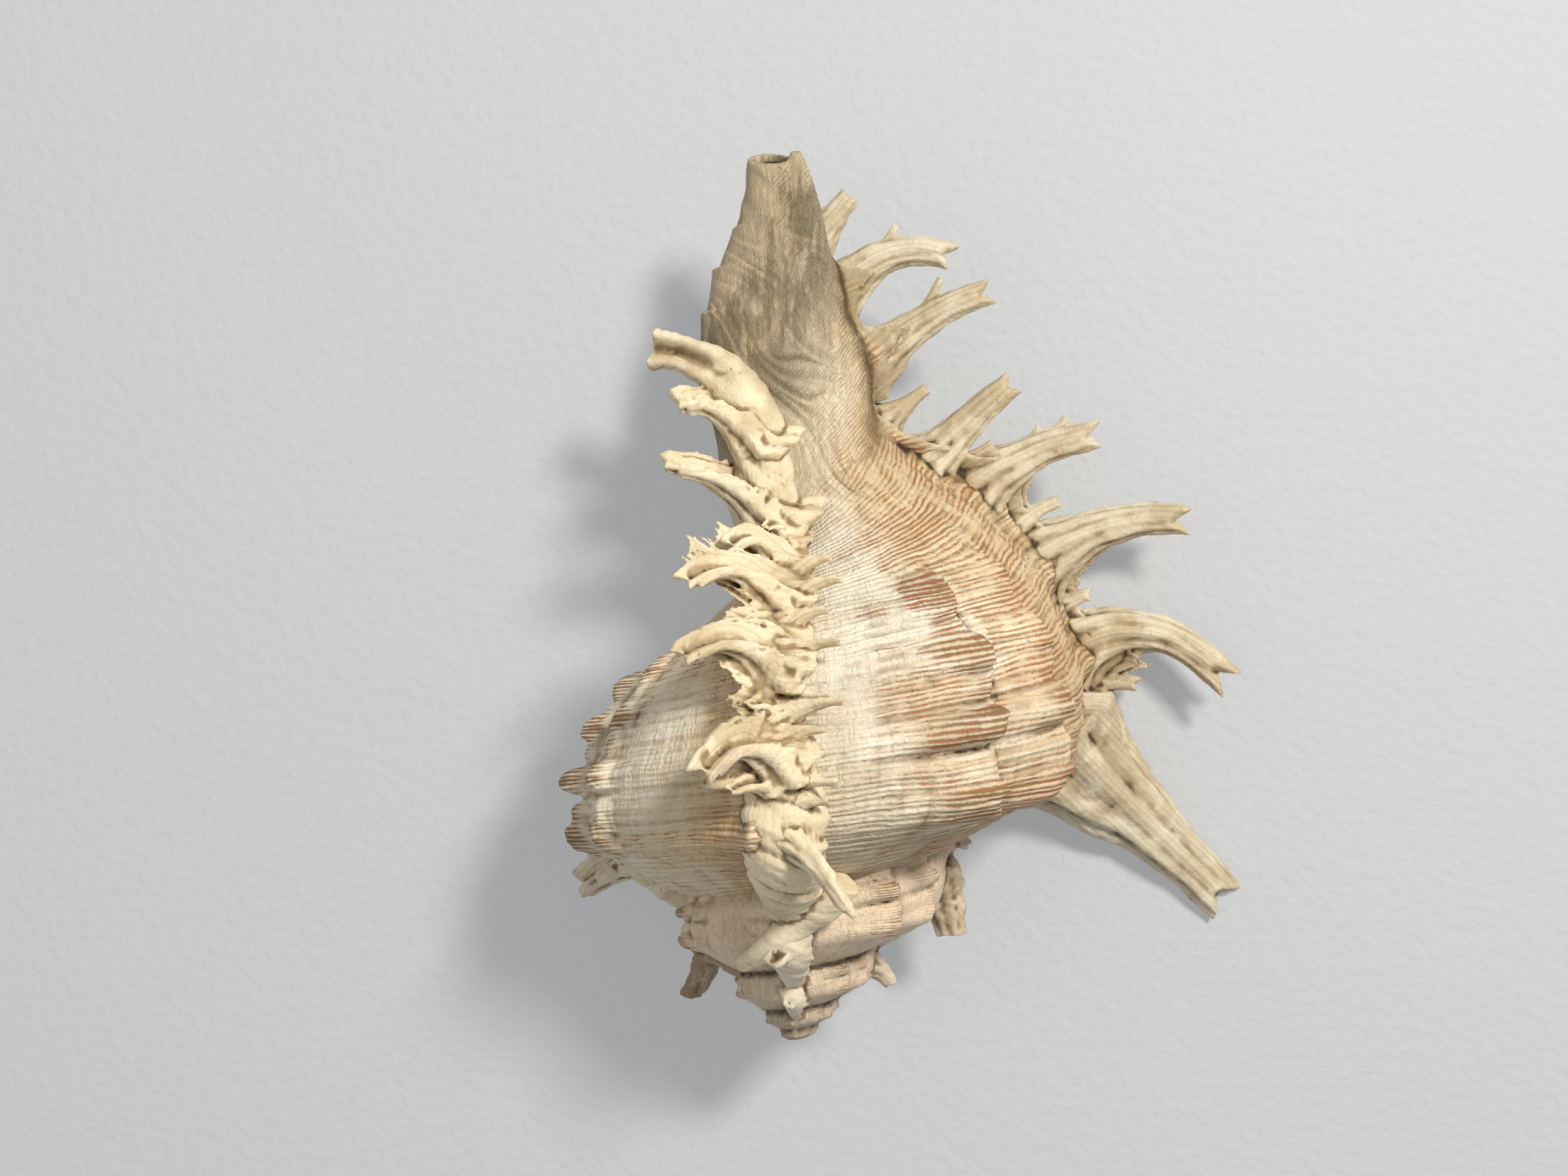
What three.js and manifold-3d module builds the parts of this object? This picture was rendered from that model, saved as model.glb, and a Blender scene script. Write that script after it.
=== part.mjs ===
// A large ramose murex shell, lying aperture down as it comes to rest on a table.
// Millimetres, +Z up. +Y runs along the coiling axis from the apex to the tip of the siphonal canal.
// The shell grows on one rule: a whorl outline turns about the axis and shrinks by a fixed ratio a turn.
// "Age" counts turns back from the outer lip, so the lip is age 0 and the apex is the oldest.
import * as THREE from "three";
import Module from "manifold-3d";

const wasm = await Module();
wasm.setup();

// Driving dimensions
const growth = 1.93; // how much a whorl grows in one turn
const lipAzimuth = THREE.MathUtils.degToRad(-25); // direction of the outer lip about the axis
const varixSpacing = 1 / 3; // turns between one varix and the next
const turns = 14 / 3;
const lipOverhang = 0.02; // turns that the thin lip edge runs past its varix
const ridge = { height: 10, halfWidth: 0.024, fadesAt: 150 }; // a varix, at full size
const knob = { behind: 0.214, height: 5.2, halfWidth: 0.03 }; // the axial row of knobs between varices
const lesserKnob = { behind: 0.147, height: 2.6, halfWidth: 0.022 };
const knobHeights = [73, 93, 111, 125]; // where the knobs stand along the axis, at full size
const knobReach = 7;
const aperture = { distance: 37, height: 93, halfWidth: 21, halfHeight: 28, slant: 0.25, depth: 0.37 };
const canalBore = { root: 6, tip: 3.4, slit: 1 }; // half widths of the channel and of its open slit
const rest = { pitch: -2.73, roll: 3.32, wear: 0.8 }; // lean about X and Y in degrees, and wear of the tips

// Outline of a full-size whorl, as distance from the axis and height above the apex
const suture = new THREE.Vector2(36, 52);
const whorlOutline = new THREE.SplineCurve([
  suture,
  new THREE.Vector2(49, 58.5),
  new THREE.Vector2(61, 66.5),
  new THREE.Vector2(67.5, 75.5),
  new THREE.Vector2(68.5, 87),
  new THREE.Vector2(64.5, 101),
  new THREE.Vector2(57, 114),
  new THREE.Vector2(45, 127),
  new THREE.Vector2(29.5, 139),
  new THREE.Vector2(16, 150),
  new THREE.Vector2(8, 163),
]);

// Spines of one varix, full size: height of the root, how far the tip reaches and rises from it, rise at
// the middle, lean back from the growing edge in degrees, and half widths at root and tip. "from" is the
// root's distance from the axis where it stands on the canal instead of the whorl. "kept" is the length
// left on the newest three varices where it is not the usual one.
const spines = [
  { at: 84, reach: 16, rise: 0, mid: 1, lean: 35, root: 5, tip: 1.5 },
  { at: 91, reach: 37, rise: -3.5, mid: 6, lean: 42, root: 9, tip: 3.2, kept: [1, 1.05, 0.35] },
  { at: 103, reach: 9, rise: 3, mid: 2, lean: 40, root: 4, tip: 1.3 },
  { at: 113.5, reach: 36, rise: 11, mid: 9.5, lean: 45, root: 8.5, tip: 3, kept: [1, 1.05, 1] },
  { at: 121, reach: 12, rise: 8, mid: 5, lean: 40, root: 4, tip: 1.3 },
  { at: 131, reach: 30, rise: 13, mid: 9, lean: 48, root: 7.5, tip: 3 },
  { at: 135, reach: 10, rise: 7, mid: 4, lean: 40, root: 3.5, tip: 1.2 },
  { at: 139, reach: 19, rise: 17, mid: 8.5, lean: 45, root: 5.5, tip: 2.8 },
  { at: 148, reach: 9, rise: 7, mid: 3.5, lean: 40, root: 4, tip: 1.2 },
  { at: 159, from: 17, reach: 29, rise: 17.5, mid: 11, lean: 42, root: 7, tip: 2.6 },
  { at: 175, from: 9, reach: 27, rise: 9.7, mid: 10.5, lean: 40, root: 6.5, tip: 2.6 },
  { at: 188, from: 4, reach: 9, rise: 11, mid: 5.5, lean: 30, root: 4.5, tip: 2.2 },
];
// The shoulder spine is different on every varix, from the lip back to the apex
const shoulderSpines = [
  { reach: 44, rise: -39, mid: -19, lean: 15 },
  { reach: 20, rise: -14, mid: -3, lean: -30 },
  { reach: 19, rise: -21, mid: -9, lean: 15 },
  { reach: 7, rise: -15, mid: -5, lean: 15 },
  { reach: 36, rise: -34, mid: -14, lean: 75 },
  { reach: 24, rise: -36, mid: -14, lean: 10 },
  { reach: 20, rise: -18, mid: -6, lean: 15 },
  { reach: 14, rise: -10, mid: -3, lean: 15 },
  { reach: 12, rise: -8, mid: -2, lean: 15 },
].map((spine) => ({ at: 70, root: 12, tip: 4.2, ...spine }));
const usualKept = [1, 1.05, 0.7];

// The siphonal canal, from the columella to its tip
const canalStations = [
  { x: 0, y: 60, z: 0, across: 8, through: 8 },
  { x: 0, y: 88, z: 0, across: 11, through: 11 },
  { x: 0.5, y: 112, z: -1, across: 15, through: 13 },
  { x: 0.5, y: 130, z: -2, across: 18.5, through: 15 },
  { x: -0.5, y: 147, z: -1, across: 18.5, through: 14 },
  { x: -5.4, y: 162, z: 1, across: 17, through: 12 },
  { x: -8.1, y: 174, z: 3, across: 14.5, through: 10.5 },
  { x: -7, y: 188, z: 7, across: 11, through: 8.5 },
  { x: -5.6, y: 199, z: 12, across: 7.5, through: 6.5 },
  { x: -4.6, y: 207, z: 17, across: 5.6, through: 5 },
];
// The end of an older canal left behind on its varix, at the size it has on the varix after the lip
const stubStations = [
  { x: 1, y: 112, z: 10, across: 9, through: 8 },
  { x: -3, y: 128, z: 13, across: 8, through: 8 },
  { x: -9, y: 145, z: 15, across: 7.5, through: 7 },
  { x: -19, y: 157, z: 14, across: 6.5, through: 6 },
  { x: -32, y: 162, z: 10, across: 4.5, through: 3.4 },
];
const stubSpines = [
  { root: [-3, 125, 14], middle: [-16, 133, 23], tip: [-30, 138, 26] },
  { root: [-8, 142, 15], middle: [-16, 150, 20], tip: [-26, 152, 22] },
];

// A closed solid from rings of points, each end closed on its own middle.
function ringSolid(rings) {
  const count = rings[0].length;
  const middle = (ring) => ring.reduce((sum, p) => sum.add(p), new THREE.Vector3()).divideScalar(count);
  const points = [...rings.flat(), middle(rings[0]), middle(rings.at(-1))];
  const last = (rings.length - 1) * count;
  const faces = [];
  for (let i = 0; i < count; i++) {
    const next = (i + 1) % count;
    for (let start = 0; start < last; start += count) {
      faces.push(start + i, start + next, start + count + i);
      faces.push(start + next, start + count + next, start + count + i);
    }
    faces.push(points.length - 2, next, i);
    faces.push(points.length - 1, last + i, last + next);
  }
  const geometry = new THREE.BufferGeometry().setFromPoints(points);
  geometry.setIndex(faces);
  return solidOf(geometry);
}

function solidOf(geometry) {
  const vertProperties = new Float32Array(geometry.getAttribute("position").array);
  const triVerts = new Uint32Array(geometry.index.array);
  const build = () => new wasm.Manifold(new wasm.Mesh({ numProp: 3, vertProperties, triVerts }));
  const solid = build();
  if (solid.volume() > 0) return solid;
  for (let i = 0; i < triVerts.length; i += 3) {
    [triVerts[i], triVerts[i + 1]] = [triVerts[i + 1], triVerts[i]];
  }
  return build();
}

function geometryOf(solid) {
  const mesh = solid.getMesh();
  const geometry = new THREE.BufferGeometry();
  geometry.setAttribute("position", new THREE.BufferAttribute(mesh.vertProperties, 3));
  geometry.setIndex(new THREE.BufferAttribute(mesh.triVerts, 1));
  return geometry;
}

const union = (solids) => solids.reduce((all, solid) => all.add(solid));
const bump = (distance, halfWidth) => Math.exp(-((distance / halfWidth) ** 2));

// How far varices and knobs lift the surface at an age and a full-size height
function lift(age, height) {
  const fromVarix = age - varixSpacing * Math.round(age / varixSpacing);
  const behind = age - varixSpacing * Math.floor(age / varixSpacing);
  const row = Math.max(...knobHeights.map((at) => bump(height - at, knobReach)));
  const ridgeHeight = ridge.height * THREE.MathUtils.clamp((ridge.fadesAt - height) / 25, 0.2, 1);
  return (
    ridgeHeight * bump(fromVarix, ridge.halfWidth) +
    row * (knob.height * bump(behind - knob.behind, knob.halfWidth) +
      lesserKnob.height * bump(behind - lesserKnob.behind, lesserKnob.halfWidth))
  );
}

// A point of the whorl at an age, from its full-size distance and height
function place(age, distance, height) {
  const azimuth = lipAzimuth + 2 * Math.PI * age;
  const size = growth ** -age;
  return new THREE.Vector3(distance * Math.cos(azimuth), height, distance * Math.sin(azimuth))
    .multiply(new THREE.Vector3(size, size, size));
}

function whorlRing(age, steps) {
  const ring = whorlOutline.getPoints(steps).map((p) => place(age, p.x + lift(age, p.y), p.y));
  const top = whorlOutline.points.at(-1).y;
  return [...ring, place(age, 1, top), place(age, 1, 0.5 * (top + suture.y)), place(age, 1, suture.y)];
}

// The whorls from one age to another, in sectors that meet on shared rings
function whorls(from, to, stepsPerSector, outlineSteps) {
  const sectorSolids = [];
  for (let start = from; start < to - 0.01; start += varixSpacing) {
    const rings = [];
    for (let i = 0; i <= stepsPerSector; i++) {
      rings.push(whorlRing(start + (varixSpacing * i) / stepsPerSector, outlineSteps));
    }
    sectorSolids.push(ringSolid(rings));
  }
  return union(sectorSolids);
}

// The hollow behind the aperture: an oval that follows the whorl back and closes at its end
function apertureHollow() {
  const rings = [];
  const steps = 11;
  for (let i = 0; i <= steps; i++) {
    const age = THREE.MathUtils.lerp(-0.08, aperture.depth, i / steps);
    const size = 0.1 + 0.9 * Math.sqrt(1 - (Math.max(0, age) / aperture.depth) ** 3);
    rings.push(Array.from({ length: 16 }, (_, k) => {
      const turn = (2 * Math.PI * k) / 16;
      const up = aperture.halfHeight * Math.sin(turn) * size;
      const out = aperture.halfWidth * Math.cos(turn) * size - aperture.slant * up;
      return place(age, aperture.distance + out, aperture.height + up);
    }));
  }
  return ringSolid(rings);
}

// A tube through stations with an oval section: "across" lies along the wide direction
function ovalTube(stations, wide, sides) {
  const path = new THREE.CatmullRomCurve3(stations.map((station) => station.point));
  return ringSolid(stations.map((station, i) => {
    const along = path.getTangent(i / (stations.length - 1));
    const side = wide.clone().addScaledVector(along, -wide.dot(along)).normalize();
    const face = new THREE.Vector3().crossVectors(along, side);
    return Array.from({ length: sides }, (_, k) => {
      const turn = (2 * Math.PI * k) / sides;
      return station.point.clone().addScaledVector(side, station.across * Math.cos(turn))
        .addScaledVector(face, station.through * Math.sin(turn));
    });
  }));
}

// Distance from the axis of a varix crest at a full-size height
function crestDistance(height) {
  const points = whorlOutline.getPoints(60).filter((p) => p.y > 65);
  const gap = (p) => Math.abs(p.y - height);
  const nearest = points.reduce((best, p) => (gap(p) < gap(best) ? p : best));
  return nearest.x + 0.6 * lift(0, height);
}

function spineSolid(spine, age, kept) {
  const azimuth = lipAzimuth + 2 * Math.PI * age;
  const outward = new THREE.Vector3(Math.cos(azimuth), 0, Math.sin(azimuth));
  const backward = new THREE.Vector3(-Math.sin(azimuth), 0, Math.cos(azimuth));
  const lean = THREE.MathUtils.degToRad(spine.lean);
  const heading = outward.clone().multiplyScalar(Math.cos(lean)).addScaledVector(backward, Math.sin(lean));
  const size = growth ** -age;
  const slender = spine.reach < 16.5 && spine.root < 6;
  const root = place(age, spine.from ?? crestDistance(spine.at), spine.at);
  const stations = (slender ? [0, 0.4, 1] : [0, 0.22, 0.5, 1]).map((t) => {
    const rise = 4 * t * (1 - t) * (spine.mid - spine.rise / 2) + spine.rise * t;
    const flare = (spine.root - 1.25 * spine.tip) * Math.exp(-5 * t);
    const half = (spine.tip * (1.25 - 0.25 * t) + flare) * size;
    const point = root.clone().addScaledVector(heading, (spine.reach * t * kept - 1) * size);
    point.y += rise * kept * size;
    return { point, across: half, through: half * 0.72 };
  });
  stations.unshift({ ...stations[0], point: root.clone().addScaledVector(outward, -12 * size) });
  return ovalTube(stations, new THREE.Vector3(0, 1, 0), slender ? 5 : age < 1 ? 8 : 6);
}

function allSpines() {
  const solids = shoulderSpines.map((spine, index) => spineSolid(spine, index * varixSpacing, 1));
  for (let index = 0; index < usualKept.length; index++) {
    for (const spine of spines) {
      const kept = (spine.kept ?? usualKept)[index];
      if (index === 0 || !spine.from) solids.push(spineSolid(spine, index * varixSpacing, kept));
    }
  }
  solids.push(spineSolid(spines[1], 1, 0.35));
  return solids;
}

const canalWide = new THREE.Vector3(1, 0, 0);
const stationPoint = (station) => new THREE.Vector3(station.x, station.y, station.z);

function canal() {
  return ovalTube(canalStations.map((s) => ({ ...s, point: stationPoint(s) })), canalWide, 14);
}

// The channel that runs from the aperture through the canal, and the slit that leaves it open below
function canalChannel() {
  const path = [new THREE.Vector3(30, 108, -15), new THREE.Vector3(17, 128, -9)];
  path.push(...canalStations.slice(4).map(stationPoint));
  const tip = path.at(-1);
  path.push(tip.clone().add(new THREE.Vector3(1, 8, 5)));
  const stations = path.map((point, i) => {
    const half = THREE.MathUtils.lerp(canalBore.root, canalBore.tip, Math.min(1, i / 7));
    return { point, across: half, through: half * 0.85 };
  });
  const slit = ringSolid(path.slice(1, -2).map((p) => [
    new THREE.Vector3(p.x - canalBore.slit, p.y, p.z - 25),
    new THREE.Vector3(p.x + canalBore.slit, p.y, p.z - 25),
    new THREE.Vector3(p.x + canalBore.slit, p.y, p.z),
    new THREE.Vector3(p.x - canalBore.slit, p.y, p.z),
  ]));
  return ovalTube(stations, canalWide, 8).add(slit);
}

function canalStub(index) {
  const back = (index - 1) * varixSpacing;
  const size = growth ** -back;
  const turn = new THREE.Matrix4().makeRotationY(-2 * Math.PI * back);
  const wide = new THREE.Vector3(0.3, 1, 0).applyMatrix4(turn);
  const placed = (point, across, through) => ({
    point: point.multiplyScalar(size).applyMatrix4(turn), across: across * size, through: through * size,
  });
  const stub = ovalTube(stubStations.map((s) => placed(stationPoint(s), s.across, s.through)), wide, 8);
  const branches = stubSpines.map(({ root, middle, tip }) => ovalTube([
    placed(new THREE.Vector3(...root), 6, 5),
    placed(new THREE.Vector3(...middle), 3, 2.4),
    placed(new THREE.Vector3(...tip), 2.2, 1.6),
  ], wide, 6));
  return union([stub, ...branches]);
}

function wholeShell() {
  const lip = ringSolid([-lipOverhang, -0.01, 0].map((age) => whorlRing(age, 20)));
  const lastWhorl = lip.add(whorls(0, 1, 12, 20)).subtract(apertureHollow());
  const spire = whorls(1, 2, 8, 15).add(whorls(2, turns, 6, 12));
  const ends = canal().add(canalStub(1)).add(canalStub(2)).subtract(canalChannel());
  return union([lastWhorl.subtract(canalChannel()), spire, ends, ...allSpines()]);
}

// Lean the shell on its tips, wear those flat, and set the middle of its footprint at the origin
function settled(solid) {
  const lean = new THREE.Euler(THREE.MathUtils.degToRad(rest.pitch), THREE.MathUtils.degToRad(rest.roll), 0);
  const leaning = geometryOf(solid).applyMatrix4(new THREE.Matrix4().makeRotationFromEuler(lean));
  leaning.computeBoundingBox();
  const table = leaning.boundingBox.min.z + rest.wear;
  const square = (z) => [[-300, -300], [300, -300], [300, 300], [-300, 300]]
    .map(([x, y]) => new THREE.Vector3(x, y, z));
  const worn = solidOf(leaning).subtract(ringSolid([square(table - 20), square(table)]));
  const whole = worn.decompose().reduce((most, piece) => (piece.volume() > most.volume() ? piece : most));
  const standing = geometryOf(whole);
  standing.computeBoundingBox();
  const middle = standing.boundingBox.getCenter(new THREE.Vector3());
  return standing.translate(-middle.x, -middle.y, -table);
}

const geometry = settled(wholeShell());
geometry.computeVertexNormals();
const material = new THREE.MeshStandardMaterial({ color: 0xe6d8b8, roughness: 0.55, metalness: 0 });
const shell = new THREE.Mesh(geometry, material);
shell.name = "shell";
const part = new THREE.Group();
part.add(shell);
export default part;
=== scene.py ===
import math

import bmesh
import bpy
import numpy as np
from mathutils import Matrix, Vector


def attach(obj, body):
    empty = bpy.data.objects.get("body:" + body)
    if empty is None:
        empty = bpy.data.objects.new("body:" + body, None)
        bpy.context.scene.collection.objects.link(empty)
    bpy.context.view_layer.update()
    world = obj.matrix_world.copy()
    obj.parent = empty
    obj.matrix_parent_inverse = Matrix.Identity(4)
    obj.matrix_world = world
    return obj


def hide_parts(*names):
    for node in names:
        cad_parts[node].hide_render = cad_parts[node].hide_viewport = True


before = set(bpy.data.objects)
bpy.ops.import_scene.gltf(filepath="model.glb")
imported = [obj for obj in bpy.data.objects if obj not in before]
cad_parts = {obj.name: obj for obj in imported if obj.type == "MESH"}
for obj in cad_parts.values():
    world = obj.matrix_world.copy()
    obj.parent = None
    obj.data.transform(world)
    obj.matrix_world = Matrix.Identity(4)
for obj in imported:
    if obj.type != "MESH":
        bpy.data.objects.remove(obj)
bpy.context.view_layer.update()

# The growth rule of the part, in millimetres about the coiling axis: age counts turns back from the lip
growth = {
    "ratio": 1.93,
    "lipAzimuth": math.radians(-25),
    "spacing": 1 / 3,
    "sectors": 14,
    "pitch": -2.73,
    "roll": 3.32,
    "shift": (-28.381, -106.225, 46.615),
}
outlineKnots = [
    (36, 52), (49, 58.5), (61, 66.5), (67.5, 75.5), (68.5, 87), (64.5, 101), (57, 114), (45, 127),
    (29.5, 139), (16, 150), (8, 163),
]
print("frame loaded")


# ---- values that can be added up, in shader trees and in geometry trees alike
class Wire:
    def __init__(self, board, socket):
        self.board, self.socket = board, socket

    def port(self, name):
        return Wire(self.board, self.socket.node.outputs[name])

    def __add__(self, other):
        return self.board.maths("ADD", self, other)

    __radd__ = __add__

    def __sub__(self, other):
        return self.board.maths("SUBTRACT", self, other)

    def __rsub__(self, other):
        return self.board.maths("SUBTRACT", other, self)

    def __mul__(self, other):
        return self.board.maths("MULTIPLY", self, other)

    __rmul__ = __mul__

    def __truediv__(self, other):
        return self.board.maths("DIVIDE", self, other)

    def __rtruediv__(self, other):
        return self.board.maths("DIVIDE", other, self)

    def __pow__(self, other):
        return self.board.maths("POWER", self, other)

    def __rpow__(self, other):
        return self.board.maths("POWER", other, self)


class Board:
    def __init__(self, tree):
        self.tree = tree

    # one node: its type, its settings, then the values or links of its sockets
    def add(self, kind, settings=None, inputs=None, out=0):
        node = self.tree.nodes.new(kind)
        for key, value in (settings or {}).items():
            setattr(node, key, value)
        for key, value in (inputs or {}).items():
            if isinstance(value, Wire):
                self.tree.links.new(value.socket, node.inputs[key])
            elif value is not None:
                node.inputs[key].default_value = value
        return Wire(self, node.outputs[out]) if node.outputs else node

    def maths(self, operation, *values):
        return self.add("ShaderNodeMath", {"operation": operation}, dict(enumerate(values)))

    def cos(self, angle):
        return self.maths("COSINE", angle)

    def sin(self, angle):
        return self.maths("SINE", angle)

    def exp(self, value):
        return self.maths("EXPONENT", value)

    def atLeast(self, value, floor):
        return self.maths("MAXIMUM", value, floor)

    def vector(self, operation, *values, out=0):
        return self.add("ShaderNodeVectorMath", {"operation": operation}, dict(enumerate(values)), out)

    def scaled(self, direction, length):
        return self.add("ShaderNodeVectorMath", {"operation": "SCALE"}, {0: direction, "Scale": length})

    def joined(self, x, y, z):
        return self.add("ShaderNodeCombineXYZ", None, {0: x, 1: y, 2: z})

    def summed(self, whole, *parts):
        for part in parts:
            whole = self.vector("ADD", whole, part)
        return whole

    # a hill of height 1 around a value
    def hill(self, value, middle, halfWidth):
        return self.exp(((value - middle) / halfWidth) ** 2 * -1)

    # the same with a flat top and steeper sides
    def block(self, value, middle, halfWidth):
        return self.exp(((value - middle) / halfWidth) ** 4 * -1)

    # 0 below low, 1 above high, smooth between
    def ease(self, value, low, high):
        settings = {"interpolation_type": "SMOOTHSTEP"}
        return self.add("ShaderNodeMapRange", settings, {"Value": value, "From Min": low, "From Max": high})

    def noise(self, place, scale, detail=2.0, roughness=0.5):
        inputs = {"Vector": place, "Scale": scale, "Detail": detail, "Roughness": roughness}
        return self.add("ShaderNodeTexNoise", None, inputs)

    # ends a material: its surface, with a height in millimetres as bump
    def skinned(self, material, height, strength, inputs):
        bump = self.add("ShaderNodeBump", None, {"Height": height, "Distance": 0.001, "Strength": strength})
        skin = self.add("ShaderNodeBsdfPrincipled", None, {**inputs, "Normal": bump})
        self.add("ShaderNodeOutputMaterial", None, {"Surface": skin})
        return material


class GrowTree(Board):
    def __init__(self, name, inputs):
        super().__init__(bpy.data.node_groups.new(name, "GeometryNodeTree"))
        kinds = {int: "Int", float: "Float", tuple: "Vector"}
        for label, default in {"Geometry": "Geometry", "Material": "Material", **inputs}.items():
            kind = kinds.get(type(default), default)
            socket = self.tree.interface.new_socket(label, in_out="INPUT", socket_type=f"NodeSocket{kind}")
            if kind != default:
                socket.default_value = default
        self.tree.interface.new_socket("Geometry", in_out="OUTPUT", socket_type="NodeSocketGeometry")
        entry = self.tree.nodes.new("NodeGroupInput")
        self.given = {socket.name: Wire(self, socket) for socket in entry.outputs if socket.name}

    # the mesh of the object that an input names
    def shapeOf(self, name):
        return self.add("GeometryNodeObjectInfo", None, {"Object": self.given[name]}).port("Geometry")

    # the sheet, once on each point
    def onPoints(self, points, sheet):
        shape = self.add("GeometryNodeInstanceOnPoints", None, {"Points": points, "Instance": sheet})
        return self.add("GeometryNodeRealizeInstances", None, {"Geometry": shape})

    def stored(self, name, kind="FLOAT"):
        return self.add("GeometryNodeInputNamedAttribute", {"data_type": kind}, {"Name": name})

    def store(self, shape, name, value, kind="FLOAT"):
        settings = {"data_type": kind, "domain": "POINT"}
        inputs = {"Geometry": shape, "Name": name, "Value": value}
        return self.add("GeometryNodeStoreNamedAttribute", settings, inputs)

    def picked(self, shape, name, index, kind="FLOAT"):
        settings = {"data_type": kind, "domain": "POINT"}
        inputs = {"Geometry": shape, "Value": self.stored(name, kind), "Index": index}
        return self.add("GeometryNodeSampleIndex", settings, inputs)

    # a flat sheet of rows and columns, with its row and column numbers kept on it
    def sheet(self, rows, columns):
        grid = self.add("GeometryNodeMeshGrid", None, {"Vertices X": rows, "Vertices Y": columns})
        index = self.add("GeometryNodeInputIndex")
        row = self.maths("FLOOR", (index + 0.5) / columns)
        grid = self.store(grid, "row", row)
        return self.store(grid, "column", index - row * columns)

    # the row number within the two rows that close a sheet, and a factor that is 0 on those two
    def between(self, rows):
        row = self.stored("row")
        inner = self.maths("MINIMUM", self.atLeast(row - 1, 0), rows - 3)
        return inner, self.maths("LESS_THAN", self.maths("ABSOLUTE", row * 2 - (rows - 1)), rows - 2)

    # the turn of each column about the sheet's middle line, with its cosine and sine
    def around(self):
        turn = self.stored("column") * (2 * math.pi) / (self.given["Sides"] - 1)
        return turn, self.cos(turn), self.sin(turn)

    # the sheet becomes one closed solid on each point: its first and last rows draw in to their middle
    def finish(self, shape, position, values):
        for name, value in values.items():
            shape = self.store(shape, name, value)
        shape = self.add("GeometryNodeSetPosition", None, {"Geometry": shape, "Position": position})
        return self.close(self.add("GeometryNodeMergeByDistance", None, {"Geometry": shape, "Distance": 0.0005}))

    # every tree ends with real geometry in the shell's material
    def close(self, shape):
        shape = self.add("GeometryNodeRealizeInstances", None, {"Geometry": shape})
        shape = self.add("GeometryNodeSetMaterial", None, {"Geometry": shape, "Material": self.given["Material"]})
        self.add("NodeGroupOutput", None, {"Geometry": shape})
        return self.tree


def linked(name, data):
    made = bpy.data.objects.new(name, data)
    bpy.context.scene.collection.objects.link(made)
    return made


def growOn(holder, tree, values):
    modifier = holder.modifiers.new("grow", "NODES")
    modifier.node_group = tree
    for socket in tree.interface.items_tree:
        if socket.in_out == "INPUT" and socket.name in values:
            modifier[socket.identifier] = values[socket.name]


# runs a tree on a mesh and gives back the plain mesh it makes
def grown(name, mesh, values):
    holder = linked(name, mesh)
    growOn(holder, trees[name], {"Material": shellMaterial, **values})
    return evaluated(holder, name)


# the mesh of an object with its modifiers worked in; the object itself is thrown away
def evaluated(holder, name):
    bpy.context.view_layer.update()
    graph = bpy.context.evaluated_depsgraph_get()
    seen = holder.evaluated_get(graph)
    made = bpy.data.meshes.new_from_object(seen, preserve_all_data_layers=True, depsgraph=graph)
    made.name = name
    bpy.data.objects.remove(holder)
    return made


def pointMesh(name, positions, attributes, edges=()):
    mesh = bpy.data.meshes.new(name)
    mesh.from_pydata([tuple(p) for p in positions], edges, [])
    for key, values in attributes.items():
        values = np.asarray(values, dtype=np.float32)
        kind = "FLOAT_VECTOR" if values.ndim == 2 else "FLOAT"
        layer = mesh.attributes.new(key, kind, "POINT")
        layer.data.foreach_set("vector" if values.ndim == 2 else "value", values.ravel())
    return mesh


# ---- the rule in numbers, for what is placed one by one
def smoothPath(knots, count):
    knots = np.array(knots, dtype=float)
    at = np.linspace(0, len(knots) - 1, count)
    cell = np.minimum(at.astype(int), len(knots) - 2)
    t = (at - cell)[:, None]
    p0, p1 = knots[np.maximum(cell - 1, 0)], knots[cell]
    p2, p3 = knots[cell + 1], knots[np.minimum(cell + 2, len(knots) - 1)]
    v0, v1 = (p2 - p0) / 2, (p3 - p1) / 2
    return p1 + v0 * t + (3 * (p2 - p1) - 2 * v0 - v1) * t**2 + (2 * (p1 - p2) + v0 + v1) * t**3


# the direction of a path at each of its points
def runOf(path):
    run = np.gradient(path, axis=0)
    return run / np.linalg.norm(run, axis=1)[:, None]


def spun(turn):
    return np.array([[math.cos(turn), 0, -math.sin(turn)], [0, 1, 0], [math.sin(turn), 0, math.cos(turn)]])


# which way is outward and which is back towards older growth at an age, and the size there
def bearings(age):
    azimuth = growth["lipAzimuth"] + 2 * math.pi * age
    outward = np.array([math.cos(azimuth), 0, math.sin(azimuth)])
    return outward, np.array([-outward[2], 0, outward[0]]), growth["ratio"] ** -age


def placed(age, distance, height):
    outward, _, size = bearings(age)
    return (outward * distance + (0, height, 0)) * size


outline = smoothPath(outlineKnots, 221)
outlineLengths = np.concatenate([[0], np.cumsum(np.hypot(*np.diff(outline, axis=0).T))])


def outlineAt(height):
    upper = outline[outline[:, 1] > 65]
    return upper[np.argmin(abs(upper[:, 1] - height)), 0]


def acrossAt(height):
    return np.interp(height, outline[:, 1], outlineLengths)


# ---- whorls
whorl = {
    "ridgeHeight": 10.0,
    "ridgeWidth": 0.028,
    "ridgeFades": 150.0,
    "ridgeLean": 0.55,
    "knobHeight": 10.0,
    "lesserKnobHeight": 6.2,
    "cordHeight": 0.9,
    "wrinkleHeight": 1.0,
    "overhang": 0.02,
    "overlap": 0.03,
    "knobsAt": (72, 91, 108, 123),
    "lesserRows": (81, 100, 116),
    "cordsAt": (70, 91, 113.5, 131, 148),
    "minorCordsAt": (81, 102, 122, 139),
    "rows": 84,
}


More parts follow.
